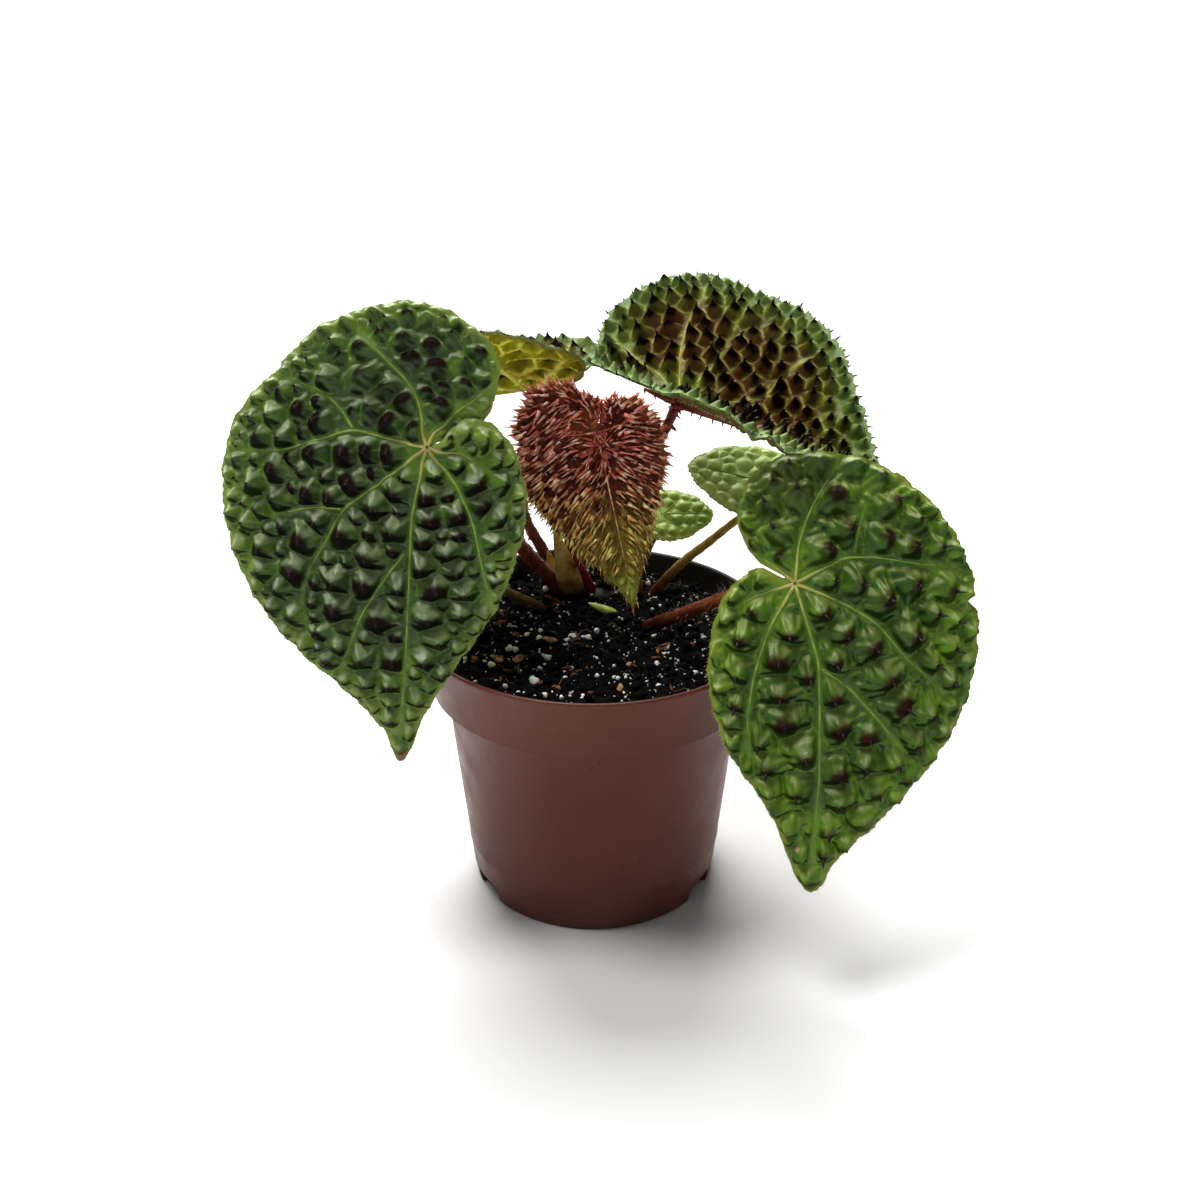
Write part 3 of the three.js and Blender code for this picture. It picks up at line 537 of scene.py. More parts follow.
def lay_down(leaf, x, y, height, lean=0.0, sway=0.0):
    """Drawn points to places in mm: height off the bent blade, lean from the stalk, sway sideways."""
    axes = blade_axes(leaf)
    radius, turn = np.hypot(x, y), np.arctan2(y, x) / degree
    root = min(leaf.span, root_span)
    opened = root + (leaf.span - root) * smooth(sinus_root, sinus_open, radius)
    angle = (leaf.middle + turn * opened / drawn_span) * degree
    u, v = radius * np.cos(angle), radius * np.sin(angle)
    lift = leaf.overlap * smooth(90, 155, np.abs(turn)) * smooth(1.5, 7, radius) * np.sign(turn)

    def base(u, v):
        bu, bv, bz = (k * leaf.scale for k in leaf.bend(u / leaf.scale, v / leaf.scale))
        steps = zip((bu, bv, bz + lift), axes)
        return np.array(leaf.junction) + sum(np.multiply.outer(k, axis) for k, axis in steps)

    at = base(u, v)
    normal = np.cross(base(u + 0.5, v) - at, base(u, v + 0.5) - at)
    normal /= np.linalg.norm(normal, axis=-1, keepdims=True)
    out = np.maximum(np.hypot(u, v), 1e-6)
    push = np.multiply.outer((lean * u - sway * v) / out, axes[0])
    push += np.multiply.outer((lean * v + sway * u) / out, axes[1])
    return at + normal * np.asarray(height)[..., None] + push


def coarse_margin(leaf):
    """The margin as the solid leaf has it; blisters keep clear of it."""
    step = leaf.margin_step

    def wall(angle):
        span = reach_at(leaf, angle) - sinus_root
        steps = max(1, math.floor(span / step + 0.5))
        return [drawn(leaf, angle, sinus_root + span * (k / steps)) for k in range(steps + 1)]

    margin = wall(leaf.first)
    travelled, tooth, before = 0.0, 0, margin[-1]
    for angle in np.arange(leaf.first + 0.5, leaf.last, 0.5):
        reach = reach_at(leaf, angle)
        spot = drawn(leaf, angle, reach)
        travelled += math.dist(spot, before)
        before = spot
        if travelled >= step / 2 and leaf.last - angle > 2:
            travelled, tooth = 0.0, tooth + 1
            margin.append(drawn(leaf, angle, reach - leaf.tooth * (1 if tooth % 2 else -0.5)))
    return np.array(margin + wall(leaf.last)[::-1])


def fine_margin(leaf):
    """The same margin at a quarter of a millimetre, gently waved and finely toothed."""
    draw = seeded(leaf.seed + 7)
    waves = [(pace, size, 6.28 * draw()) for pace, size in margin_waves]
    walls = [[drawn(leaf, angle, reach) for reach in np.arange(sinus_root, reach_at(leaf, angle), fine_step)]
             for angle in (leaf.first, leaf.last)]
    nicked, deep, wide = leaf.nick
    margin = []
    travelled, kept, before = 0.0, 0.0, drawn(leaf, leaf.first, reach_at(leaf, leaf.first))
    for angle in np.arange(leaf.first, leaf.last, 0.05):
        reach = reach_at(leaf, angle)
        spot = drawn(leaf, angle, reach)
        travelled += math.dist(spot, before)
        before = spot
        if travelled - kept >= fine_step:
            kept = travelled
            inward = float(smooth(0, 6, angle - leaf.first) * smooth(0, 6, leaf.last - angle))
            wave = sum(math.sin(travelled * pace + phase) * size for pace, size, phase in waves)
            saw = leaf.teeth * (travelled / leaf.teeth_pitch % 1)
            cut = deep * math.exp(-(((angle - nicked) / wide) ** 2))
            out = inward * (leaf.wave * wave + saw - 0.3 * leaf.teeth)
            margin.append(drawn(leaf, angle, reach + out - cut))
    return np.array(walls[0] + margin + walls[1][::-1])


def inside(outline, x, y):
    """Whether drawn points lie inside a closed outline."""
    found = np.zeros(np.shape(x), bool)
    for (px, py), (qx, qy) in zip(outline, np.roll(outline, 1, axis=0)):
        if py != qy:
            found ^= ((py > y) != (qy > y)) & (x < (qx - px) * (y - py) / (qy - py) + px)
    return found


def vein_line(leaf, vein, step):
    """Points at even steps along one main vein, drawn through marks of angle and reach."""
    marks = np.array([drawn(leaf, angle, reach * leaf.scale) for angle, reach in vein])
    gone = np.concatenate([[0], np.cumsum(np.hypot(*np.diff(marks, axis=0).T))])
    along = np.arange(step, gone[-1], step)
    return np.stack([np.interp(along, gone, marks[:, k]) for k in (0, 1)], axis=1)


def soft_vein(leaf, vein):
    """One main vein at half millimetres, its corners rounded."""
    line = vein_line(leaf, vein, 0.5)
    width = min(13, len(line) // 3 * 2 + 1)
    padded = np.pad(line, ((width // 2, width // 2), (0, 0)), "reflect", reflect_type="odd")
    return np.stack([np.convolve(padded[:, k], np.ones(width) / width, "valid") for k in (0, 1)], axis=1)


def blister_places(leaf):
    """Centres, spaces and heights of the blisters, kept apart and clear of veins and margin."""
    margin = coarse_margin(leaf)
    draw = seeded(leaf.seed)
    veins = np.concatenate([vein_line(leaf, vein, 2) for vein in leaf.veins])
    (left, low), (right, high) = margin.min(0), margin.max(0)
    tried = np.array([[draw(), draw(), draw()] for _ in range(blister_tries)])
    x, y, size = left + (right - left) * tried[:, 0], low + (high - low) * tried[:, 1], tried[:, 2]
    rim, vein = (np.hypot(k[:, 0] - x[:, None], k[:, 1] - y[:, None]).min(1) for k in (margin, veins))
    near = 0.62 + 0.38 * smooth(0, 16, rim)
    space = leaf.spacing * near * (0.9 + 0.25 * size)
    free = inside(margin, x, y) & (rim >= space * 0.42) & (vein >= space * 0.4)
    free &= np.hypot(x, y) >= sinus_root + space * 0.6
    tall = leaf.height * near * (0.8 + 0.4 * size)
    if leaf.overlap:
        tall *= 1 - 0.85 * smooth(125, 150, -np.arctan2(y, x) / degree)
    places = np.empty((0, 4))
    for share in (1, leaf.fill):
        for k in np.flatnonzero(free) if share else ():
            apart = np.hypot(places[:, 0] - x[k], places[:, 1] - y[k])
            if not (apart < (places[:, 2] + share * space[k]) / 2).any():
                places = np.vstack([places, (x[k], y[k], share * space[k], share * tall[k])])
    return places


def nearest(points, x, y):
    """Distance from each drawn point to the nearest of a set, and which one."""
    tree = KDTree(len(points))
    for k, (px, py) in enumerate(points):
        tree.insert((px, py, 0), k)
    tree.balance()
    found = [tree.find((a, b, 0)) for a, b in zip(x, y)]
    return np.array([f[2] for f in found]), np.array([f[1] for f in found])


def open_sheet(outline, grain):
    """A flat sheet of small faces inside an outline, its border drawn on to the outline."""
    (left, low), (right, high) = outline.min(0) - grain, outline.max(0) + grain
    across, up = math.ceil((right - left) / grain), math.ceil((high - low) / grain)
    bm = bmesh.new()
    bmesh.ops.create_grid(
        bm, x_segments=across, y_segments=up, size=1,
        matrix=Matrix.Translation(((left + right) / 2, (low + high) / 2, 0))
        @ Matrix.Diagonal((across * grain / 2, up * grain / 2, 1, 1)),
    )
    x, y = np.array([v.co[:2] for v in bm.verts]).T
    marks = list(zip(bm.verts, *nearest(outline, x, y), inside(outline, x, y)))
    beyond = [v for v, far, _, within in marks if not within and far > 0.55 * grain]
    bmesh.ops.delete(bm, geom=beyond, context="VERTS")
    for v, _, which, within in marks:
        if v.is_valid and (v.is_boundary or not within):
            v.co.xy = outline[which]
    bmesh.ops.dissolve_degenerate(bm, dist=0.02, edges=bm.edges)
    bmesh.ops.triangulate(bm, faces=bm.faces)
    return bm


def blister_relief(leaf, peaks, x, y, edge, vein):
    """At drawn points, in mm: height, lean, sway; then the dark tint of the tips with painted shade, and the
    net.
    """
    apart = np.hypot(x[:, None] - peaks[:, 0], y[:, None] - peaks[:, 1])
    scaled = apart / peaks[:, 2]
    rows, own = np.arange(len(x)), scaled.argmin(1)
    d1, real1 = scaled[rows, own], apart[rows, own]
    scaled[rows, own] = 99
    other = scaled.argmin(1)
    d2, real2 = scaled[rows, other], apart[rows, other]
    px, py, space, tall = peaks[own].T
    t = np.maximum(2 * d1 / (d1 + d2), np.minimum(1, d1 / leaf.foot))
    held = smooth(0.1, leaf.vein_clear, vein) * smooth(0.1, leaf.rim_clear, edge)
    height = tall * (leaf.dome * (1 - t**2) + (1 - leaf.dome) * (1 - t) ** leaf.point) * held
    turn = np.arctan2(y - py, x - px)
    ribs = np.cos(leaf.rib_count * turn + 2.4 * own) + 0.6 * np.cos((leaf.rib_count + 3) * turn - own)
    height += leaf.ribs * ribs * np.clip(t * (1 - t), 0, 1) * 4 * held
    pucker = np.sin(1.15 * x + 1.7 * np.sin(0.6 * y)) * np.sin(1.05 * y + 1.3 * np.sin(0.7 * x + 2))
    height += leaf.pucker * pucker * smooth(0, 3, edge) * smooth(0.3, 2.4, vein) * (0.35 + 0.65 * t)
    height += leaf.ridge * np.exp(-((vein / 0.7) ** 2))
    net = (1 - smooth(0.15, leaf.net_width, real2 - real1)) * (t < 1)
    net = np.maximum(net, 1 - smooth(0.3, 1.0, vein))
    rise = np.clip((1 - t) * held, 0, 1) ** 1.4
    draw = seeded(leaf.seed + 13)
    own_tint, own_sway = np.array([(draw() - 0.5, draw() - 0.5) for _ in peaks])[own].T
    # The tips' own dark is centred a little past each peak, away from the stalk, so it also paints shade on
    # that flank.
    slip = 1 + leaf.lee * space / np.maximum(np.hypot(px, py), 1)
    lee = np.hypot(x - px * slip, y - py * slip) / space
    shade = np.where(t < 1, np.clip(1 - 1.6 * lee, 0, 1), 0)
    tint = shade * (1 + leaf.dark * (smooth(2, 18, edge) - 0.6) + leaf.uneven * own_tint)
    return height, leaf.lean * rise, leaf.sway * own_sway * rise, tint * smooth(-0.3, 0.7, held), net


def hair(sides=3, slices=1, bend=0.0):
    """A hair or thorn 1 mm long and 1 mm in radius at its foot, bent towards +X."""
    bm = bmesh.new()
    bmesh.ops.create_cone(bm, cap_ends=True, segments=sides, radius1=1, radius2=0.04, depth=1,
                          matrix=Matrix.Translation((0, 0, 0.5)))
    if slices > 1:
        tall = [e for e in bm.edges if abs(e.verts[0].co.z - e.verts[1].co.z) > 0.5]
        bmesh.ops.subdivide_edges(bm, edges=tall, cuts=slices - 1, use_grid_fill=True)
        for v in bm.verts:
            v.co.x += bend * v.co.z ** 2
    return bm


def stood(place, direction, radius, length, towards=None, broad=1):
    """Where a hair stands: its foot in mm, its direction, the side it bends to, and how broad it is."""
    up = Vector(direction).normalized()
    side = up.orthogonal() if towards is None else Vector(towards)
    side = (side - up * side.dot(up)).normalized()
    turn = Matrix((side, up.cross(side), up)).transposed().to_4x4()
    return Matrix.Translation(place) @ turn @ Matrix.Diagonal((radius, broad * radius, length, 1))


# The skin that every blade wears: green flanks, deeper inside the blade, dark blister tips, a pale
# net in the valleys and a lighter rim. What faces up is painted paler as a painted sheen, and what
# faces down is painted darker as painted shade. Distances to the margin are in mm.
skin = bpy.data.node_groups.new("blistered_skin", "ShaderNodeTree")
skin_hues = ("Flank", "Shade", "Heart", "Tip", "Net", "Rim", "Painted Sheen")
skin_amounts = ("Tip Start", "Tip End", "Net Amount", "Rim Width", "Painted Sheen Amount", "Painted Shade Amount")
for way, kind, names in (
    ("INPUT", "Color", skin_hues), ("INPUT", "Float", skin_amounts),
    ("OUTPUT", "Color", ("Color",)), ("OUTPUT", "Float", ("Roughness", "Gloss", "Height")),
):
    for name in names:
        skin.interface.new_socket(name=name, in_out=way, socket_type="NodeSocket" + kind)
given, put = skin.nodes.new("NodeGroupInput").outputs, skin.nodes.new("NodeGroupOutput").inputs


def measured(name):
    """A value stored on the blade's points."""
    return wired(skin, "Attribute", attribute_name=name)["Fac"]


def maths(tree, kind, *values):
    """One sum of numbers or sockets."""
    return wired(tree, "Math", dict(enumerate(values)), operation=kind)[0]


def plus(first, second):
    return maths(skin, "ADD", first, second)


def times(first, second):
    return maths(skin, "MULTIPLY", first, second)


def astray(value, noisy, amount):
    """A value made to wander by noise."""
    return plus(value, times(plus(noisy, -0.5), amount))


def eased(*limits):
    """A value carried smoothly from one range to another."""
    return fade(skin, *limits, way="SMOOTHSTEP")


broad, mottle, fine = (noise(skin, scale, detail) for scale, detail in ((90, 3), (420, 4), (1500, 3)))
normal = wired(skin, "NewGeometry")["Normal"]
facing_up = astray(wired(skin, "SeparateXYZ", {"Vector": normal})["Z"], mottle, 0.5)
# Painted shade: the more a surface faces down, the darker its colour and the less it shines.
painted_shade_mask = eased(facing_up, 0.3, -0.4)
tip_mask = eased(astray(measured("tip"), mottle, 0.5), given["Tip Start"], given["Tip End"])
patches = eased(plus(times(broad, 0.6), times(mottle, 0.4)), 0.38, 0.62)
hue = mixed(skin, given["Flank"], given["Shade"], patches)
for name, mask in (
    ("Heart", times(eased(astray(measured("edge"), broad, 16.0), 5.0, 20.0), 0.75)),
    ("Net", times(times(measured("net"), given["Net Amount"]), eased(mottle, 0.3, 0.55, 0.5, 1.0))),
    ("Rim", eased(astray(measured("edge"), broad, 9.0), 0.0, given["Rim Width"], 0.85, 0.0)),
    # Painted sheen: the more a surface faces up, the more it is mixed towards a pale hue.
    ("Painted Sheen", times(eased(facing_up, 0.4, 0.95), given["Painted Sheen Amount"])),
    ("Tip", tip_mask),
):
    hue = mixed(skin, hue, given[name], mask)
for name, value in (
    # The colour is multiplied darker by the painted shade of down-facing surfaces.
    ("Color", mixed(skin, hue, "#202020", times(painted_shade_mask, given["Painted Shade Amount"]), "MULTIPLY")),
    ("Roughness", eased(mottle, 0.3, 0.7, 0.4, 0.54)),
    ("Gloss", eased(maths(skin, "MAXIMUM", tip_mask, painted_shade_mask), 0.0, 1.0, 1.0, 0.15)),
    ("Height", plus(times(mottle, 0.7), times(fine, 0.3))),
):
    fed(skin, put[name], value)


def skin_finish(name, hues, tip_start, tip_end, net, rim, gloss, bloom=0.0, painted_shade=0.0):
    """A blade's finish, its hues in the order of skin_hues; the painted sheen's hue may be left out."""
    hues = hues.split()
    finish = material(name, hues[0])
    worn = finish.node_tree.nodes.new("ShaderNodeGroup")
    worn.node_tree = skin
    amounts = (tip_start, tip_end, net, rim, bloom, painted_shade)
    for socket, value in (*zip(skin_hues, hues), *zip(skin_amounts, amounts)):
        fed(finish.node_tree, worn.inputs[socket], value)
    painted(finish, worn.outputs["Color"])
    painted(finish, worn.outputs["Roughness"], "Roughness")
    painted(finish, maths(finish.node_tree, "MULTIPLY", worn.outputs["Gloss"], gloss), "Specular IOR Level")
    bumped(finish, worn.outputs["Height"], 0.0004)
    return finish


def distance_from(tree, centre):
    """How far a point of the piece lies from a place given in mm, in metres."""
    sockets = {0: wired(tree, "TexCoord")["Object"], 1: [k * MM for k in centre]}
    return wired(tree, "VectorMath", sockets, operation="DISTANCE")["Value"]


def dry_and_painted_shade_spot(finish, leaf, angle, reach, wide, code, amount=1):
    """Turns one place of a blade another colour, ragged at its border, wide in metres."""
    tree = finish.node_tree
    before = tree.nodes["Principled BSDF"].inputs["Base Color"].links[0].from_socket
    far = distance_from(tree, lay_down(leaf, *drawn(leaf, angle, reach), 0.5))
    ragged = maths(tree, "MULTIPLY_ADD", noise(tree, 420), wide, far)
    painted(finish, mixed(tree, before, code, fade(tree, ragged, 1.1 * wide, 1.6 * wide, amount, 0)))


def vein_finish(name, leaf, near, far):
    """A vein's skin: pale where the veins meet over the stalk, greener towards the margin."""
    finish = material(name, far, 0.45)
    tree = finish.node_tree
    tone = mixed(tree, near, far, fade(tree, distance_from(tree, leaf.junction), 0.002, 0.016))
    spots = ramp(tree, noise(tree, 260, 3), (0.35, "#c4c4c4"), (0.7, "#ffffff"))
    painted(finish, mixed(tree, tone, spots, 1.0, "MULTIPLY"))
    return finish


def grown_blade(leaf, upper, under):
    """The blade of one leaf: a fine sheet raised into its blisters and given its thickness."""
    outline, peaks = fine_margin(leaf), blister_places(leaf)
    bm = open_sheet(outline, leaf.grain)
    x, y = np.array([v.co[:2] for v in bm.verts]).T
    edge, _ = nearest(outline, x, y)
    vein, _ = nearest(np.concatenate([soft_vein(leaf, marks) for marks in leaf.veins]), x, y)
    height, lean, sway, tip, net = blister_relief(leaf, peaks, x, y, edge, vein)
    angle = leaf.middle + np.degrees(np.arctan2(y, x)) * leaf.span / drawn_span
    height -= np.interp(angle, *np.array(leaf.frill).T) * (1 - smooth(0, 12, edge))
    blade = to_object(leaf.name + "_blade", bm, upper, under)
    places = lay_down(leaf, x, y, height, lean, sway)
    blade.data.vertices.foreach_set("co", (places * MM).ravel())
    for name, values in (("tip", tip), ("net", net), ("edge", edge)):
        stored = blade.data.attributes.new(name, "FLOAT", "POINT")
        stored.data.foreach_set("value", values.astype(np.float32))
    blade.data.update()
    wall = blade.modifiers.new("thickness", "SOLIDIFY")
    wall.thickness, wall.offset, wall.material_offset = blade_thickness * MM, -1, 1
    wall.use_rim = wall.use_quality_normals = True
    dressed(blade, leaf.slot, leaf.name)
    return outline, peaks


def raised_veins(leaf, finish, thick=0.5, thin=0.16):
    """The main veins, as tapered cords that stand out of both faces and sink in at their ends."""
    lines = []
    for vein in leaf.veins:
        line = soft_vein(leaf, vein)[::2]
        share = np.linspace(0 if vein[0][1] == 0 else 0.4, 1, len(line))
        radii = (thick + (thin - thick) * share ** 0.8) * leaf.scale ** 0.5
        height = leaf.ridge - 0.25 * radii - 0.5 * smooth(0.8, 1, share)
        lines.append((lay_down(leaf, *line.T, height), radii))
    dressed(cords(leaf.name + "_veins", lines, finish), leaf.slot)


def tip_points(leaf, outline, peaks, radius, length, share=1.0):
    """A small hard point on each blister but those at the margin, leaning away from the stalk."""
    draw, sides = seeded(leaf.seed + 31), seeded(leaf.seed + 13)
    rim, _ = nearest(outline, *peaks[:, :2].T)
    kept = [k for k, far in enumerate(rim) if draw() <= share and far > leaf.point_clear]
    x, y, _, tall = peaks[kept].T
    sway = leaf.sway * np.array([(sides(), sides())[1] - 0.5 for _ in peaks])[kept]
    near = lay_down(leaf, x, y, tall * 0.96, leaf.lean * 0.95, sway * 0.95)
    ahead = lay_down(leaf, x, y, tall + 1, leaf.lean * 1.6, sway * 1.6)
    outward = lay_down(leaf, x * 1.05, y * 1.05, tall)
    stands = [stood(a - 0.25 * (b - a), b - a, radius, length * (0.7 + 0.6 * draw()), c - a)
              for a, b, c in zip(near, ahead, outward)]
    dressed(copied(leaf.name + "_points", hair(5, 2, 0.35), stands, dark_point), leaf.slot)


def margin_hairs(leaf, outline, finish, pitch=1.1, length=1.2, radius=0.07, kind="_margin_hairs"):
    """Short stiff hairs or thorns along the margin, pointing outwards."""
    draw = seeded(leaf.seed + 57)
    kept = outline[:: round(pitch / fine_step)]
    x, y = kept[np.hypot(*kept.T) > sinus_open].T
    beyond = lay_down(leaf, x * 1.03, y * 1.03, np.array([1.6 * draw() - 0.8 for _ in x]))
    feet = lay_down(leaf, x, y, -0.35)
    stands = [stood(a, b - a, radius, length * (0.5 + draw())) for a, b in zip(feet, beyond)]
    dressed(copied(leaf.name + kind, hair(), stands, finish), leaf.slot)


def grown_leaf(leaf, upper, under, vein, vein_radii, point):
    """A grown leaf with its veins, dark points and pale margin hairs."""
    outline, peaks = grown_blade(leaf, upper, under)
    raised_veins(leaf, vein, *vein_radii)
    tip_points(leaf, outline, peaks, *point)
    margin_hairs(leaf, outline, pale_hair)
    return outline


# What grown leaves share, in mm: how their blisters stand and are shaped, how far these keep from
# veins and margin, and the margin's waves and teeth. A leaf's own marks stand in its section.
grown = dict(
    scale=1, overlap=0, spacing=6.4, height=4.8, lean=0.8, margin_step=8, tooth=1, grain=0.55, teeth=0.3,
    teeth_pitch=2.3, wave=0.8, vein_clear=2.4, foot=0.8, dome=0.35, point=1.4, pucker=0.25, ridge=0.2,
    net_width=0.8, ribs=0.16, rib_count=5, dark=0.5, uneven=0.6, sway=1.2, point_clear=5, fill=0,
    nick=(0, 0, 1), lee=0.16, rim_clear=2.2, frill=[(0, 0), (600, 0)],
)
dark_point = mottled("dark_point", "#1a1012", 0.4, 500, 3, (0.35, "#150c0e"), (0.7, "#33201f"))
pale_hair = material("pale_hair", "#c9c6a4", 0.5)
under_green = skin_finish(
    "under_green", "#77803c #65702f #6a7434 #3a2a20 #a2a256 #8a5a3e",
    tip_start=0.5, tip_end=0.9, net=0.7, rim=2.5, gloss=0.35,
)


# Leaf 1, front left: the largest, deep glossy green, facing the camera with its tip down. Its right
# basal lobe laps in front of the upper one. Blisters are domes with purple-black points.
leaf_1 = leaf_like(
    grown, name="leaf_1_front_left", slot="leaf_deep", seed=1101, overlap=1.5, fill=0.6, lean=1.9,
    vein_clear=1.6, net_width=1.2, pucker=0.45, lee=0.2, dark=0.7, uneven=1.1,
    outline=[
        (16, 9), (31, 19.6), (46, 29.1), (58, 36.2), (72, 39.8), (98, 45), (122, 47), (139, 49.8),
        (157, 51.5), (176, 59.2), (205, 65.7), (228, 70.7), (252, 77.4), (260, 82.6), (266, 89.5),
        (270, 98.5), (274, 83.2), (283, 67.4), (300, 52.7), (315, 43.3), (347, 31.2), (366, 26.1),
        (384, 21.4), (402, 14.7),
    ],
    veins=[
        [(262, 0), (262, 22), (267, 43), (268.5, 62), (269.3, 92)],
        [(262.6, 33), (256, 44), (253, 57), (253.5, 75)],
        [(312, 0), (313, 14), (306, 27), (299, 41), (296.5, 54)],
        [(221, 0), (222, 19), (221, 32), (227, 41), (231, 53), (236, 62)],
        [(221, 32), (212, 40), (208.5, 52)],
        [(174, 0), (172, 15), (171, 23), (180, 32), (186, 44), (186, 58)],
        [(171, 23), (160, 29), (156.5, 36), (158.5, 49)],
        [(105, 0), (105, 15), (112, 22), (120, 30), (125, 42)], [(68, 0), (57, 13), (50, 22), (49, 28)],
        [(366, 0), (355, 10), (347, 17), (341, 22)],
    ],
    junction=(-51, -20, 166.8), tipward=(-7.9, -40, -87.1), side=(1, 0.12, 0),
    bend=lambda u, v: (u, v, -0.0016 * u * u - 0.0011 * v * v),
)
deep_green = skin_finish(
    "deep_green", "#688e14 #345c08 #264806 #2a1a14 #8cae3c #8ea63e #b4c094",
    tip_start=0.2, tip_end=0.74, net=0.35, rim=6.0, gloss=0.9, bloom=0.5, painted_shade=0.9,
)
dry_and_painted_shade_spot(deep_green, leaf_1, 270, 98, 0.0035, "#8a6a3c")
deep_vein = vein_finish("vein_deep", leaf_1, "#e0d484", "#a4c85c")
grown_leaf(leaf_1, deep_green, under_green, deep_vein, (0.6, 0.18), (0.6, 1.1))


# Leaf 2, front right: fresh green, facing the camera, with few blisters that end in hooked dark
# points. The skin between them is puckered, and one nick cuts its right margin.
leaf_2 = leaf_like(
    grown, name="leaf_2_front_right", slot="leaf_fresh", seed=2202, spacing=8, height=5.2, lean=2.4,
    foot=0.9, dome=0.3, point=1.5, pucker=0.8, ribs=0.12, rib_count=4, nick=(351, 2.6, 1.6),
    outline=[
        (151, 11), (171, 16.5), (189, 22.3), (209, 29.9), (222, 37.5), (236, 47.4), (246, 56.2),
        (256, 64.8), (263, 75.6), (270, 97), (276, 87.2), (284, 80.2), (296, 73), (319, 64.6),
        (342, 57.7), (358, 54.1), (378, 49.9), (401, 45.8), (437, 40.6), (463, 37), (484, 28.7),
        (495, 22), (507, 12.2),
    ],
    veins=[
        [(283, 0), (284, 25), (278, 41), (274.5, 60), (271, 88)],
        [(283.5, 27), (294, 35), (298, 47), (300, 62)],
        [(235, 0), (238, 16), (243.5, 31), (248, 44), (253, 56)],
        [(333, 0), (335, 16), (331, 28), (324, 38), (320.5, 57)],
        [(388, 0), (385, 17), (375, 26), (366, 38), (363, 49)], [(384, 20), (396, 24), (405, 32)],
        [(441, 0), (442, 12), (436, 22), (429, 35), (428, 39)], [(488, 0), (497, 9), (500, 14)],
        [(190, 0), (194, 11), (200, 19)],
    ],
    junction=(61.6, -42, 130.9), tipward=(4.9, -38, -85.7), side=(1, -0.1, 0),
    bend=lambda u, v: (u, v, -0.0016 * u * u - 0.001 * v * v),
)
fresh_green = skin_finish(
    "fresh_green", "#6c940a #3c6404 #345c02 #3c2218 #8cb030 #8c9c34 #bcc070",
    tip_start=0.3, tip_end=0.85, net=0.35, rim=2.4, gloss=0.66, bloom=0.36, painted_shade=0.75,
)
# Painted shade: a broad dark olive patch on the upper shoulder of leaf 2.
dry_and_painted_shade_spot(fresh_green, leaf_2, 452, 36, 0.018, "#38440a", 0.6)
dry_and_painted_shade_spot(fresh_green, leaf_2, 268, 83, 0.0013, "#b89a6c")
fresh_vein = vein_finish("vein_fresh", leaf_2, "#dcd480", "#a0c25c")
grown_leaf(leaf_2, fresh_green, under_green, fresh_vein, (0.58, 0.18), (0.75, 3.0))


# Leaf 3, back right: olive green, raised like a trough whose near half faces the camera. A
# yellow-green net lies between steep, nearly black points; its rim is grey-green. A thorny keel
# runs below it from the red, hairy knob where its stalk joins.
def folded(u, v, left, right):
    """A sheet folded along its midrib, with both halves rising."""
    turn = np.radians(np.where(u < 0, left, right))
    return u * np.cos(turn), v, (np.sqrt(u * u + 9) - 3) * np.sin(turn)


leaf_3 = leaf_like(
    grown, name="leaf_3_back_right", slot="leaf_olive", seed=3303, height=6.6, spacing=4.9, lean=1.4,
    dome=0.1, point=1.15, net_width=0.9, vein_clear=1.4, pucker=0.15, teeth=1.3, teeth_pitch=4.6,
    lee=0.1, rim_clear=1.8,
    frill=[(151, 0), (195, 0), (208, -2.2), (234, -2.2), (239, 0), (242.5, 2.4), (246.5, -0.6), (251, 2.6),
           (255, 0.3), (258, 1.4), (262, 0)],
    outline=[
        (151, 10), (171, 16), (189, 21), (209, 28), (225, 35), (240, 44), (252, 55), (262, 69), (270, 82),
        (274, 74), (280, 68), (290, 62), (300, 58), (315, 56), (339, 53), (360, 50), (376, 53),
        (394, 55), (414, 52), (424, 49), (432, 45), (440, 40), (452, 36), (465, 33), (480, 27),
        (493, 19), (507, 11),
    ],
    veins=[
        [(270, 0), (262, 22), (266, 45), (271, 76)], [(392, 0), (393, 20), (388, 33), (382, 50)],
        [(343, 0), (348, 15), (352, 23), (359, 33), (361, 47)],
        [(277, 8), (289, 18), (296, 29), (310, 35), (316.5, 42), (317, 53)],
        [(420, 0), (426, 14), (432, 25), (431, 40)], [(234, 0), (236, 25), (237, 38)], [(190, 0), (192, 18)],
    ],
    junction=(28.9, 24, 169.5), tipward=(65, -49, -13.5), side=(0.605, 0.8, 0),
    bend=lambda u, v: folded(u, v, 25, 36),
)
knob_offset, knob_radius, knob_hair_count = (-1.2, -0.5, -3.6), 1.9, 90
keel_marks = ((270, 34, 1.9), (150, 15, 1.4))
olive_green = skin_finish(
    "olive_green", "#7e8c32 #5c641e #662014 #200c09 #b0b444 #708a4c #8c9c68",
    tip_start=0.24, tip_end=0.62, net=0.75, rim=11.0, gloss=0.3, bloom=0.1, painted_shade=0.45,
)
for angle, reach in ((206, 22), (219, 27), (232, 34)):
    dry_and_painted_shade_spot(under_green, leaf_3, angle, reach, 0.009, "#6c4a2a", 0.6)
olive_vein = mottled("olive_vein", "#a9ac4a", 0.45, 260, 3, (0.35, "#8f963c"), (0.7, "#c0bf62"))
outline = grown_leaf(leaf_3, olive_green, under_green, olive_vein, (), (0.6, 1.8))
margin_hairs(leaf_3, outline, dark_point, 3.4, 2.0, 0.4, "_margin_thorns")

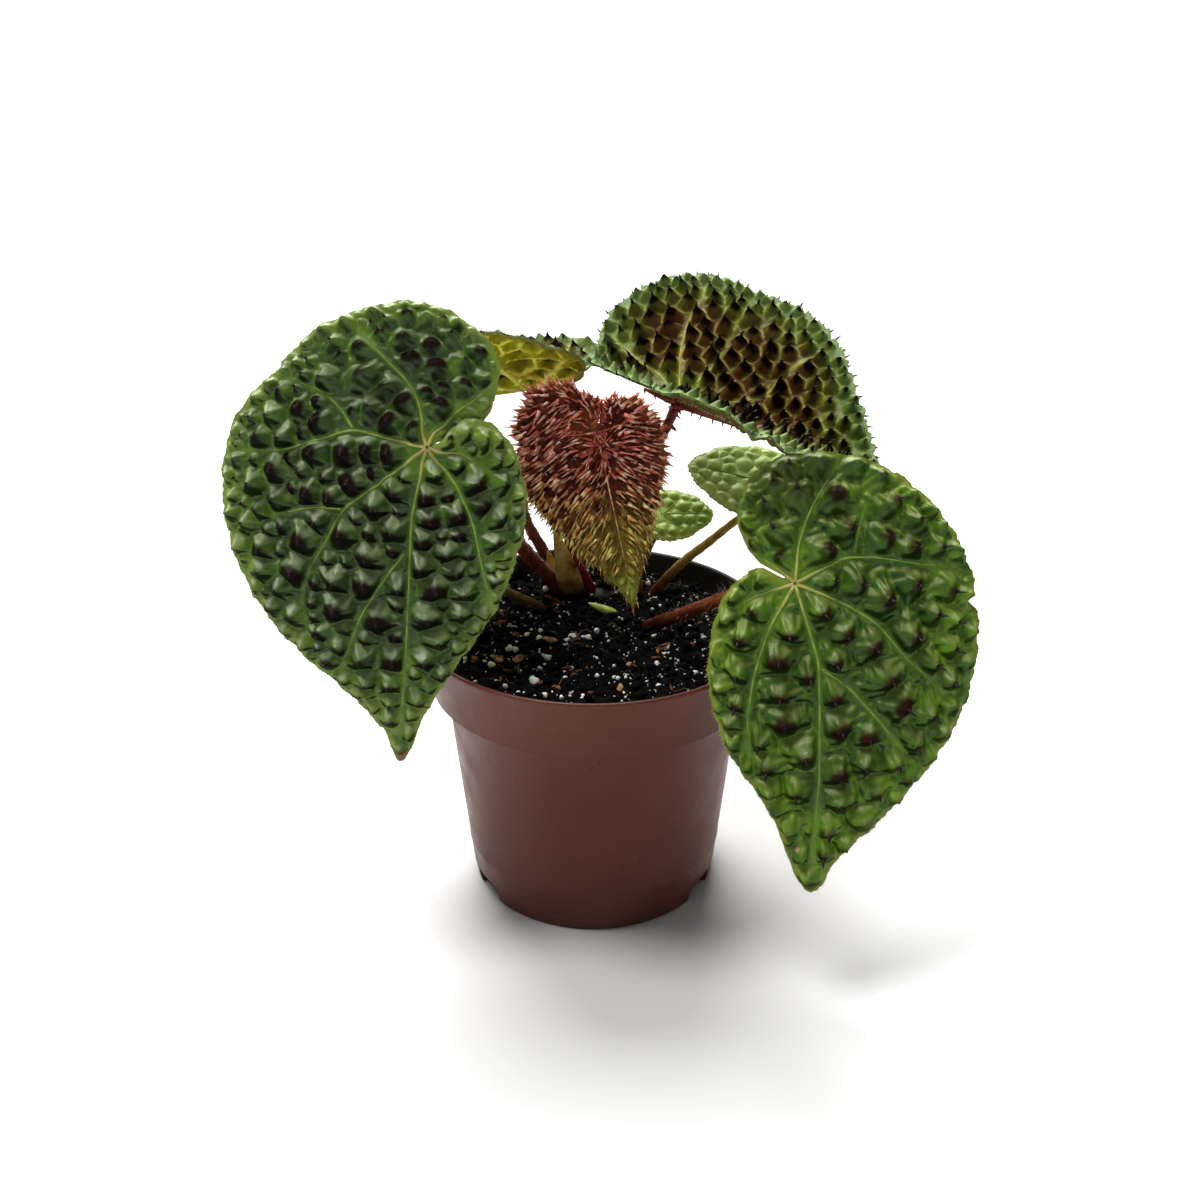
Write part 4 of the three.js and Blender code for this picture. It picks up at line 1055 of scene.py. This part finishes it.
draw = seeded(303)
keels, thorns, knob_hairs = [], [], []
for angle, span, thick_end in keel_marks:
    reaches = np.arange(0, span, 1.0)
    x, y = np.array([drawn(leaf_3, angle, reach) for reach in reaches]).T
    radii = thick_end * (1 - 0.7 * reaches / span)
    path = lay_down(leaf_3, x, y, -blade_thickness - 1.1 * radii)
    keels.append((path, radii))
    for k in range(2, len(path), 4):
        forward = Vector(path[k] - path[k - 1]).normalized()
        out = Vector((0.5 * draw() - 0.25, -0.35, -1)) - forward * (0.6 * draw())
        foot = Vector(path[k]) + out.normalized() * radii[k] * 0.7
        thorns.append(stood(foot, out, 0.4, 1.6 + 1.4 * draw()))
knob_at = Vector(leaf_3.junction) + Vector(knob_offset)
for _ in range(knob_hair_count):
    out = Vector([2 * draw() - 1 for _ in range(3)]).normalized()
    knob_hairs.append(stood(knob_at + out * 1.6, out, 0.16, 1.0 + 1.4 * draw()))
keel_red = mottled("leaf_3_keel_red", "#8e5434", 0.4, 380, 3, (0.35, "#6e2a1e"), (0.7, "#a8684a"))
knob_red = material("leaf_3_knob_red", "#a02c28", 0.4)
knob = bmesh.new()
middle = Matrix.Translation(knob_at * MM)
bmesh.ops.create_icosphere(knob, subdivisions=3, radius=knob_radius * MM, matrix=middle)
for extra in (
    cords("leaf_3_back_right_keels", keels, keel_red, 3),
    copied("leaf_3_back_right_keel_thorns", hair(5, 2, -0.2), thorns, dark_point),
    copied("leaf_3_back_right_knob_hairs", hair(4), knob_hairs, knob_red),
    to_object("leaf_3_back_right_knob", knob, knob_red),
):
    dressed(extra, "leaf_olive")


# Leaf 4, back left: mostly hidden behind leaf 1. Its near half rises and shows its underside, lit
# through to yellow-green, with pale raised veins and dark hollows; the far half lies level.
leaf_4 = leaf_like(
    grown, name="leaf_4_back_left", slot="leaf_olive", seed=4404, spacing=7, height=5.6, dome=0.15,
    point=1.3, net_width=1.2,
    outline=[
        (112, 8), (120, 19), (132, 30), (146, 38), (165, 45), (190, 50), (215, 55), (240, 62), (256, 70),
        (270, 82), (282, 70), (300, 60), (325, 51), (350, 43), (382, 31), (405, 28.5), (422, 24),
        (442, 16), (464, 10),
    ],
    veins=[
        [(270, 0), (270, 77)], [(305, 0), (302, 53)], [(345, 0), (340, 39)], [(400, 0), (400, 25)],
        [(232, 0), (237, 54)], [(185, 0), (188, 43)], [(140, 0), (140, 28)],
    ],
    junction=(-21.5, 45, 165.5), tipward=(-75, 8, -14), side=(-0.1, -1, 0),
    bend=lambda u, v: folded(u, v, 6, 48),
)
# The underside's bright yellow-green and pale yellow veins are partly its own colour, partly painted light
# shining through the blade.
lit_under = skin_finish(
    "lit_underside", "#c0c020 #8e9010 #a0a014 #1a0e06 #fffc7c #8e7a40",
    tip_start=0.2, tip_end=0.6, net=1.0, rim=3.0, gloss=0.4,
)
grown_leaf(leaf_4, olive_green, lit_under, olive_vein, (0.8, 0.3), (0.6, 1.8))


# Leaf 5, centre: young and red-brown, its blisters drawn out into soft strap-like spines that lie
# outwards over one another from a bright red crown at the stalk; the tip is olive and toothed.
leaf_5 = leaf_like(
    grown, name="leaf_5_centre_young", slot="leaf_young", seed=5505, spacing=4.4, height=4.2, lean=2.4,
    margin_step=5, tooth=1.6, grain=0.45, teeth=1.2, teeth_pitch=2.6, wave=1.4, vein_clear=0.8, dome=0.2,
    point=1.3, ridge=0.7, dark=0,
    outline=[
        (68, 9), (95, 13.4), (109, 18.3), (121, 22.1), (136, 24.5), (163, 26.5), (184, 27), (207, 30.7),
        (235, 35.9), (247, 40.3), (257, 45.6), (265, 51.9), (270, 59.2), (274, 50), (288, 36.3),
        (305, 28.4), (333, 23.1), (354, 20.7), (373, 18.3), (397, 14.8), (419, 11.1), (428, 9),
    ],
    veins=[
        [(270, 0), (270, 55)], [(235, 0), (241, 33)], [(305, 0), (299, 26)], [(170, 0), (174, 22)],
        [(372, 0), (368, 15)],
    ],
    junction=(1.2, 8, 162), tipward=(12.5, -8, -57.3), side=(1, 0, 0.2),
    bend=lambda u, v: (u, v, -0.004 * u * u + 0.001 * v * v),
)
spine_pitch, spine_tries, spine_reach = 1.15, 11000, 4
parting, tuft_at, tuft_reach, tuft_count, slit_count = np.array((1.2, -4.6)), (4.7, 1.7), 4.5, 46, 40
young_red = skin_finish(
    "young_red", "#7c3c26 #4e1c14 #4c1610 #5c2218 #8c5430 #96683a",
    tip_start=0.3, tip_end=0.8, net=0.3, rim=2.0, gloss=0.3,
)
dry_and_painted_shade_spot(young_red, leaf_5, 270, 54, 0.03, "#988a38", 0.85)
dry_and_painted_shade_spot(young_red, leaf_5, 270, 58, 0.011, "#bcc454")
under_red = skin_finish(
    "under_red", "#7c4638 #6b3830 #74362c #3a1c1a #a8604c #8b7a43",
    tip_start=0.4, tip_end=0.9, net=0.7, rim=3.0, gloss=0.35,
)
crown_red = mottled("crown_red", "#9a3026", 0.42, 300, 3, (0.3, "#983426"), (0.7, "#e07c68"))
spine_red = material("spine_red", "#9c4f45", 0.42)
tree = spine_red.node_tree
mottle = noise(tree, 420, 3)
lower = ramp(tree, mottle, (0.32, "#9c6028"), (0.46, "#dcae5c"), (0.6, "#fbec94"))
upper = ramp(tree, mottle, (0.34, "#b04630"), (0.5, "#e08a70"), (0.62, "#ffdccc"))
painted(spine_red, mixed(tree, lower, upper, climbing(tree, 0.13, 0.152)))

outline, peaks = grown_blade(leaf_5, young_red, under_red)
raised_veins(leaf_5, spine_red, 0.4, 0.15)
draw = seeded(97)
(left, low), (right, high) = outline.min(0), outline.max(0)
tried = np.array([(left + (right - left) * draw(), low + (high - low) * draw()) for _ in range(spine_tries)])
tried = tried[inside(outline, *tried.T) & (np.hypot(*tried.T) > sinus_root)]
kept = []
for spot in tried:
    if not kept or np.hypot(*(np.array(kept) - spot).T).min() > spine_pitch:
        kept.append(spot)
x, y = np.array(kept).T
rim, _ = nearest(outline, x, y)
midrib, _ = nearest(soft_vein(leaf_5, leaf_5.veins[0]), x, y)
raised, *leans = blister_relief(leaf_5, peaks, x, y, rim, midrib)[:3]
feet, above = (lay_down(leaf_5, x, y, raised + lift, *leans) for lift in (-0.5, 0.5))
turns = np.degrees(np.arctan2(y, x)) * leaf_5.span / drawn_span + leaf_5.middle
spots = np.hypot(x, y)[:, None] * np.column_stack([np.cos(turns * degree), np.sin(turns * degree)])
spines = []
for k, spot in enumerate(spots):
    if midrib[k] < 1.0 and spot[1] < -16:
        continue
    away = spot - parting
    far = max(1.0, math.hypot(*away))
    wide = math.copysign(0.55 + 0.45 * min(1, abs(away[0]) / 6), away[0])
    feather = np.array((wide, -0.4 - 0.9 * smooth(4, -26, away[1])))
    feather /= math.hypot(*feather)
    blend = smooth(4, 10, far) * smooth(1, 7, rim[k])
    heading = away / far + blend * (feather - away / far) + np.array((draw() - 0.5, draw() - 0.5)) * 0.2
    u, v = spot + spine_reach * heading
    turn = math.degrees(math.atan2(v, u))
    turn += 360 * round((turns[k] - turn) / 360)
    ahead = lay_down(leaf_5, *drawn(leaf_5, turn, math.hypot(u, v)), raised[k] + 0.6 + 1.6 * draw())
    length = (4.0 + 1.8 * draw()) * (0.5 + 0.5 * smooth(0, 6, rim[k])) * (1 - 0.5 * smooth(-34, -50, spot[1]))
    radius, broad = 0.42 + 0.14 * draw(), 1.25 + 0.4 * draw()
    spines.append(stood(feet[k], ahead - feet[k], radius, length, feet[k] - above[k], broad))
across, along, facing = blade_axes(leaf_5)
tuft_middle = lay_down(leaf_5, *tuft_at, 1.5)
tuft = []
for _ in range(tuft_count):
    swing, far = 2 * math.pi * draw(), tuft_reach * math.sqrt(draw())
    out = across * math.cos(swing) + along * math.sin(swing)
    foot, up = tuft_middle + far * out, out + facing * (1.2 - 0.12 * far)
    tuft.append(stood(foot, up, 0.28 + 0.1 * draw(), 1.8 + 1.4 * draw(), -facing, 1.3))
for k in range(slit_count):
    side, far = (1, -1)[k % 2], sinus_root + 8 * draw()
    foot = lay_down(leaf_5, *drawn(leaf_5, leaf_5.middle + side * 179, far), 0.2)
    up = facing + 0.9 * side * across * (0.4 + draw()) - 0.4 * along
    tuft.append(stood(foot, up, 0.32, 2.2 + 1.4 * draw(), -facing, 1.4))
for name, places, finish in (("spines", spines, spine_red), ("crown_spines", tuft, crown_red)):
    dressed(copied("leaf_5_centre_young_" + name, hair(5, 3, 0.9), places, finish), "leaf_young")
margin_hairs(leaf_5, outline, spine_red, 1.2, 2.4)
margin_hairs(leaf_5, outline, spine_red, 2.6, 3.2, 0.4, "_margin_thorns")


# Leaves 6, 7 and 8: small juvenile leaves, pale green and nearly smooth, with low bumps. The
# eighth is hidden behind leaf 1 and taken to be like the others.
seedling = dict(
    grown, slot="leaf_pale", spacing=4.8, height=1.6, lean=0.4, margin_step=5, tooth=0.5, grain=0.4,
    teeth=0.5, teeth_pitch=2.0, wave=0.7, vein_clear=1.2, dome=0.75, pucker=0.12, ridge=0.12, dark=0, ribs=0,
    outline=[
        (72, 4), (100, 8.5), (135, 11.5), (180, 12.5), (215, 14), (245, 17.5), (262, 20), (270, 21),
        (278, 20), (295, 17), (325, 13.5), (360, 12), (405, 10.5), (432, 4),
    ],
    veins=[[(270, 0), (270, 20)], [(220, 0), (225, 11)], [(320, 0), (315, 11)]],
    bend=lambda u, v: (u, v, -0.006 * u * u - 0.004 * v * v),
)
leaf_6 = leaf_like(
    seedling, name="leaf_6_seedling_right", seed=6606, scale=0.86,
    junction=(25.3, 47, 117.4), tipward=(20, -2, 1.5), side=(0.2, 0.75, 0.6),
)
leaf_7 = leaf_like(
    seedling, name="leaf_7_seedling_far_right", seed=7707, scale=1.4,
    junction=(61, 20, 139), tipward=(-31, 4, 8.5), side=(-0.2, -0.9, -0.42),
)
leaf_8 = leaf_like(
    seedling, name="leaf_8_seedling_left", seed=8808,
    junction=(-42, 8, 116), tipward=(-15, -8, -8), side=(0.5, -0.8, -0.3),
)
pale_green = skin_finish(
    "pale_green", "#a0bc5c #82a040 #8cac4c #a0ba60 #6a883a #b0bc66 #b4c890",
    tip_start=0.5, tip_end=1.0, net=0.25, rim=2.0, gloss=0.4, bloom=0.05, painted_shade=0.4,
)
paler_green = skin_finish(
    "paler_green", "#c8e084 #a4ca60 #b2d66e #c8e08c #86a84c #d0e088 #e0f0b0",
    tip_start=0.5, tip_end=1.0, net=0.4, rim=2.0, gloss=0.5, bloom=0.1, painted_shade=0.5,
)
pale_vein = mottled("pale_vein", "#8fa64e", 0.45, 260, 3, (0.35, "#6c8c34"), (0.7, "#a0b058"))
for leaf, green in ((leaf_6, pale_green), (leaf_7, paler_green), (leaf_8, pale_green)):
    outline, _ = grown_blade(leaf, green, green)
    raised_veins(leaf, pale_vein, 0.4, 0.15)
    margin_hairs(leaf, outline, pale_hair, 1.4, 0.7)


# Stalks: round, fleshy and bristly, thickest at the foot and widened under the blade. The grown
# leaves' stalks are red to red-brown with thorns and pale hairs; the juvenile ones slim and olive.
def eased_curve(marks, step):
    """Points at even steps along a soft curve through the marks, in mm."""
    marks = [np.array(m, float) for m in marks]
    marks = [2 * marks[0] - marks[1], *marks, 2 * marks[-1] - marks[-2]]
    points = []
    for p0, p1, p2, p3 in zip(marks, marks[1:], marks[2:], marks[3:]):
        g0, g1, g2 = (np.linalg.norm(b - a) ** 0.5 for a, b in ((p0, p1), (p1, p2), (p2, p3)))
        m1 = ((p1 - p0) / g0 - (p2 - p0) / (g0 + g1) + (p2 - p1) / g1) * g1
        m2 = ((p2 - p1) / g1 - (p3 - p1) / (g1 + g2) + (p3 - p2) / g2) * g1
        for t in np.arange(0, 1, 0.02):
            a, b = 2 * t**3 - 3 * t**2 + 1, t**3 - 2 * t**2 + t
            points.append(a * p1 + b * m1 + (1 - a) * p2 + (t**3 - t**2) * m2)
    points = np.array([*points, marks[-2]])
    gone = np.concatenate([[0], np.cumsum(np.linalg.norm(np.diff(points, axis=0), axis=1))])
    even = np.linspace(0, gone[-1], max(4, round(gone[-1] / step)))
    return np.stack([np.interp(even, gone, points[:, k]) for k in range(3)], axis=1)


def stalk_finish(name, low_hues, high_hues, high):
    """A stalk's skin: mottled, changing towards the blade at a height in metres."""
    finish = material(name, high_hues[0], 0.42)
    tree = finish.node_tree
    spots = noise(tree, 330)
    low, top = (ramp(tree, spots, *zip((0.35, 0.68), hues)) for hues in (low_hues, high_hues))
    painted(finish, mixed(tree, low, top, climbing(tree, 0.094, high)))
    bumped(finish, noise(tree, 900, 3), 0.0002)
    return finish


def trimmed(spots, leaf):
    """Cuts a stalk's end level with the blade that it carries."""
    reach = spots - np.array(leaf.junction)
    facing = blade_axes(leaf)[2]
    above = np.maximum(reach @ facing + 0.4, 0) * (np.linalg.norm(reach, axis=1) < 9)
    return spots - np.outer(above, facing)


thick = dict(slot="stalk_red", thorns=46, hairs=320, hair_length=1.6, hair_radius=0.05, clear=5)
slim = dict(thick, slot="stalk_olive", thorns=0, hairs=70, hair_length=0.8)
red = stalk_finish("stalk_red", ("#6c281c", "#9c4430"), ("#74281f", "#96463a"), 0.14)
orange = stalk_finish("stalk_orange_brown", ("#5a2412", "#7d381c"), ("#863f1c", "#b0622c"), 0.13)
crimson = stalk_finish("stalk_crimson", ("#84181a", "#a8282a"), ("#80242a", "#a03c40"), 0.14)
ochre = stalk_finish("stalk_ochre", ("#7a4420", "#9a6c2c"), ("#9c8038", "#bca250"), 0.11)
olive = stalk_finish("stalk_olive", ("#7c6330", "#94793a"), ("#8d8a48", "#a5a262"), 0.115)
thorn_red = mottled("thorn_red", "#7a3a30", 0.4, 400, 3, (0.35, "#4a201c"), (0.7, "#9c5a48"))
white_hair = material("white_hair", "#d8c9bb", 0.5)
stalks = [
    dict(thick, leaf=leaf_1, finish=red, radii=(2.8, 2.0),
         path=[(-10.5, 34, 85), (-13, 32.5, 94), (-19.8, 26, 106.3), (-27, 17, 120), (-38, 3, 141)]),
    dict(thick, leaf=leaf_2, finish=orange, radii=(2.4, 1.9), thorns=16, hairs=150, hair_length=3.0,
         hair_radius=0.1,
         path=[(13.5, 16, 85), (21.2, 5, 93.6), (32.2, -8, 104.8), (41.6, -19, 114.5), (53, -30, 124)]),
    dict(thick, leaf=leaf_3, finish=red, radii=(2.3, 1.6), clear=14,
         path=[(13.5, 34, 84), (14.5, 33, 93.2), (18, 30, 121.9), (21, 27, 148), (26, 25, 161)]),
    dict(thick, leaf=leaf_4, finish=orange, radii=(2.2, 1.6), clear=16,
         path=[(-12, 41, 85), (-16.7, 40, 102.1), (-25.4, 42, 120.5), (-23, 46, 142.9), (-21.8, 46, 157)]),
    dict(thick, leaf=leaf_5, finish=crimson, radii=(2.1, 1.5), clear=30,
         path=[(0, 35, 84), (-1.4, 34, 93.2), (-8, 31, 110), (-9, 27, 125), (-6.3, 21, 144)]),
    dict(slim, leaf=leaf_6, finish=olive, radii=(1.3, 1),
         path=[(16.6, 47, 84), (16.9, 47, 93.1), (19.4, 47.4, 101), (22.6, 47.4, 109)]),
    dict(slim, leaf=leaf_7, finish=ochre, radii=(2, 1.1),
         path=[(19, 37, 84), (23.2, 34, 93.6), (33.2, 29, 107.6), (39.5, 26, 114.4), (49.3, 22, 125),
               (56.6, 20.5, 131.4)]),
    dict(slim, leaf=leaf_8, finish=olive, radii=(1.7, 1.1),
         path=[(-14, 25, 84), (-19.1, 20, 92.8), (-25.7, 14, 99.5), (-31.1, 10, 104.5), (-38, 8, 110)]),
]
for number, marks in enumerate(stalks):
    stalk, name = SimpleNamespace(**marks), f"stalk_{number + 1}"
    line = eased_curve([*stalk.path, lay_down(stalk.leaf, 0.0, 0.0, -0.4)], 0.8)
    steps, share = np.arange(len(line)), np.linspace(0, 1, len(line))
    wide, narrow = stalk.radii
    lumpy = 1 + 0.05 * np.sin(steps * 0.9) + 0.04 * np.sin(steps * 2.3 + number)
    radii = (wide + (narrow - wide) * share) * lumpy + 0.25 * wide * smooth(0.93, 1, share)
    rod = cords(name + "_rod", [(line, radii)], stalk.finish, 6)
    reshaped(rod, lambda spots: trimmed(spots, stalk.leaf))
    rod.data.polygons.foreach_set("use_smooth", [True] * len(rod.data.polygons))
    dressed(rod, stalk.slot, name)
    draw = np.random.default_rng(500 + number)
    thorns, hairs = [], []
    for stands in [thorns] * stalk.thorns + [hairs] * stalk.hairs:
        k = int(draw.integers(max(2, len(line) // 8), len(line) - 2))
        forward = Vector(line[k + 1] - line[k - 1]).normalized()
        out = Matrix.Rotation(2 * math.pi * draw.random(), 3, forward) @ forward.orthogonal().normalized()
        foot = Vector(line[k]) + out * radii[k] * 0.85
        if stands is thorns:
            length, radius, lean = 1.2 + 1.9 * draw.random(), 0.42, -0.35
        else:
            length, radius = stalk.hair_length * (0.5 + draw.random()), stalk.hair_radius
            lean = 0.8 * (draw.random() - 0.5)
        if foot.z > soil_top + stalk.clear:
            stands.append(stood(foot, out + forward * lean, radius, length, forward))
    if thorns:
        dressed(copied(name + "_thorns", hair(5, 2, -0.25), thorns, thorn_red), stalk.slot)
    if hairs:
        dressed(copied(name + "_hairs", hair(3), hairs, white_hair), stalk.slot)


low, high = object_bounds()
{"cad": [list(cad_low), list(cad_high)], "visual": [list(low), list(high)]}
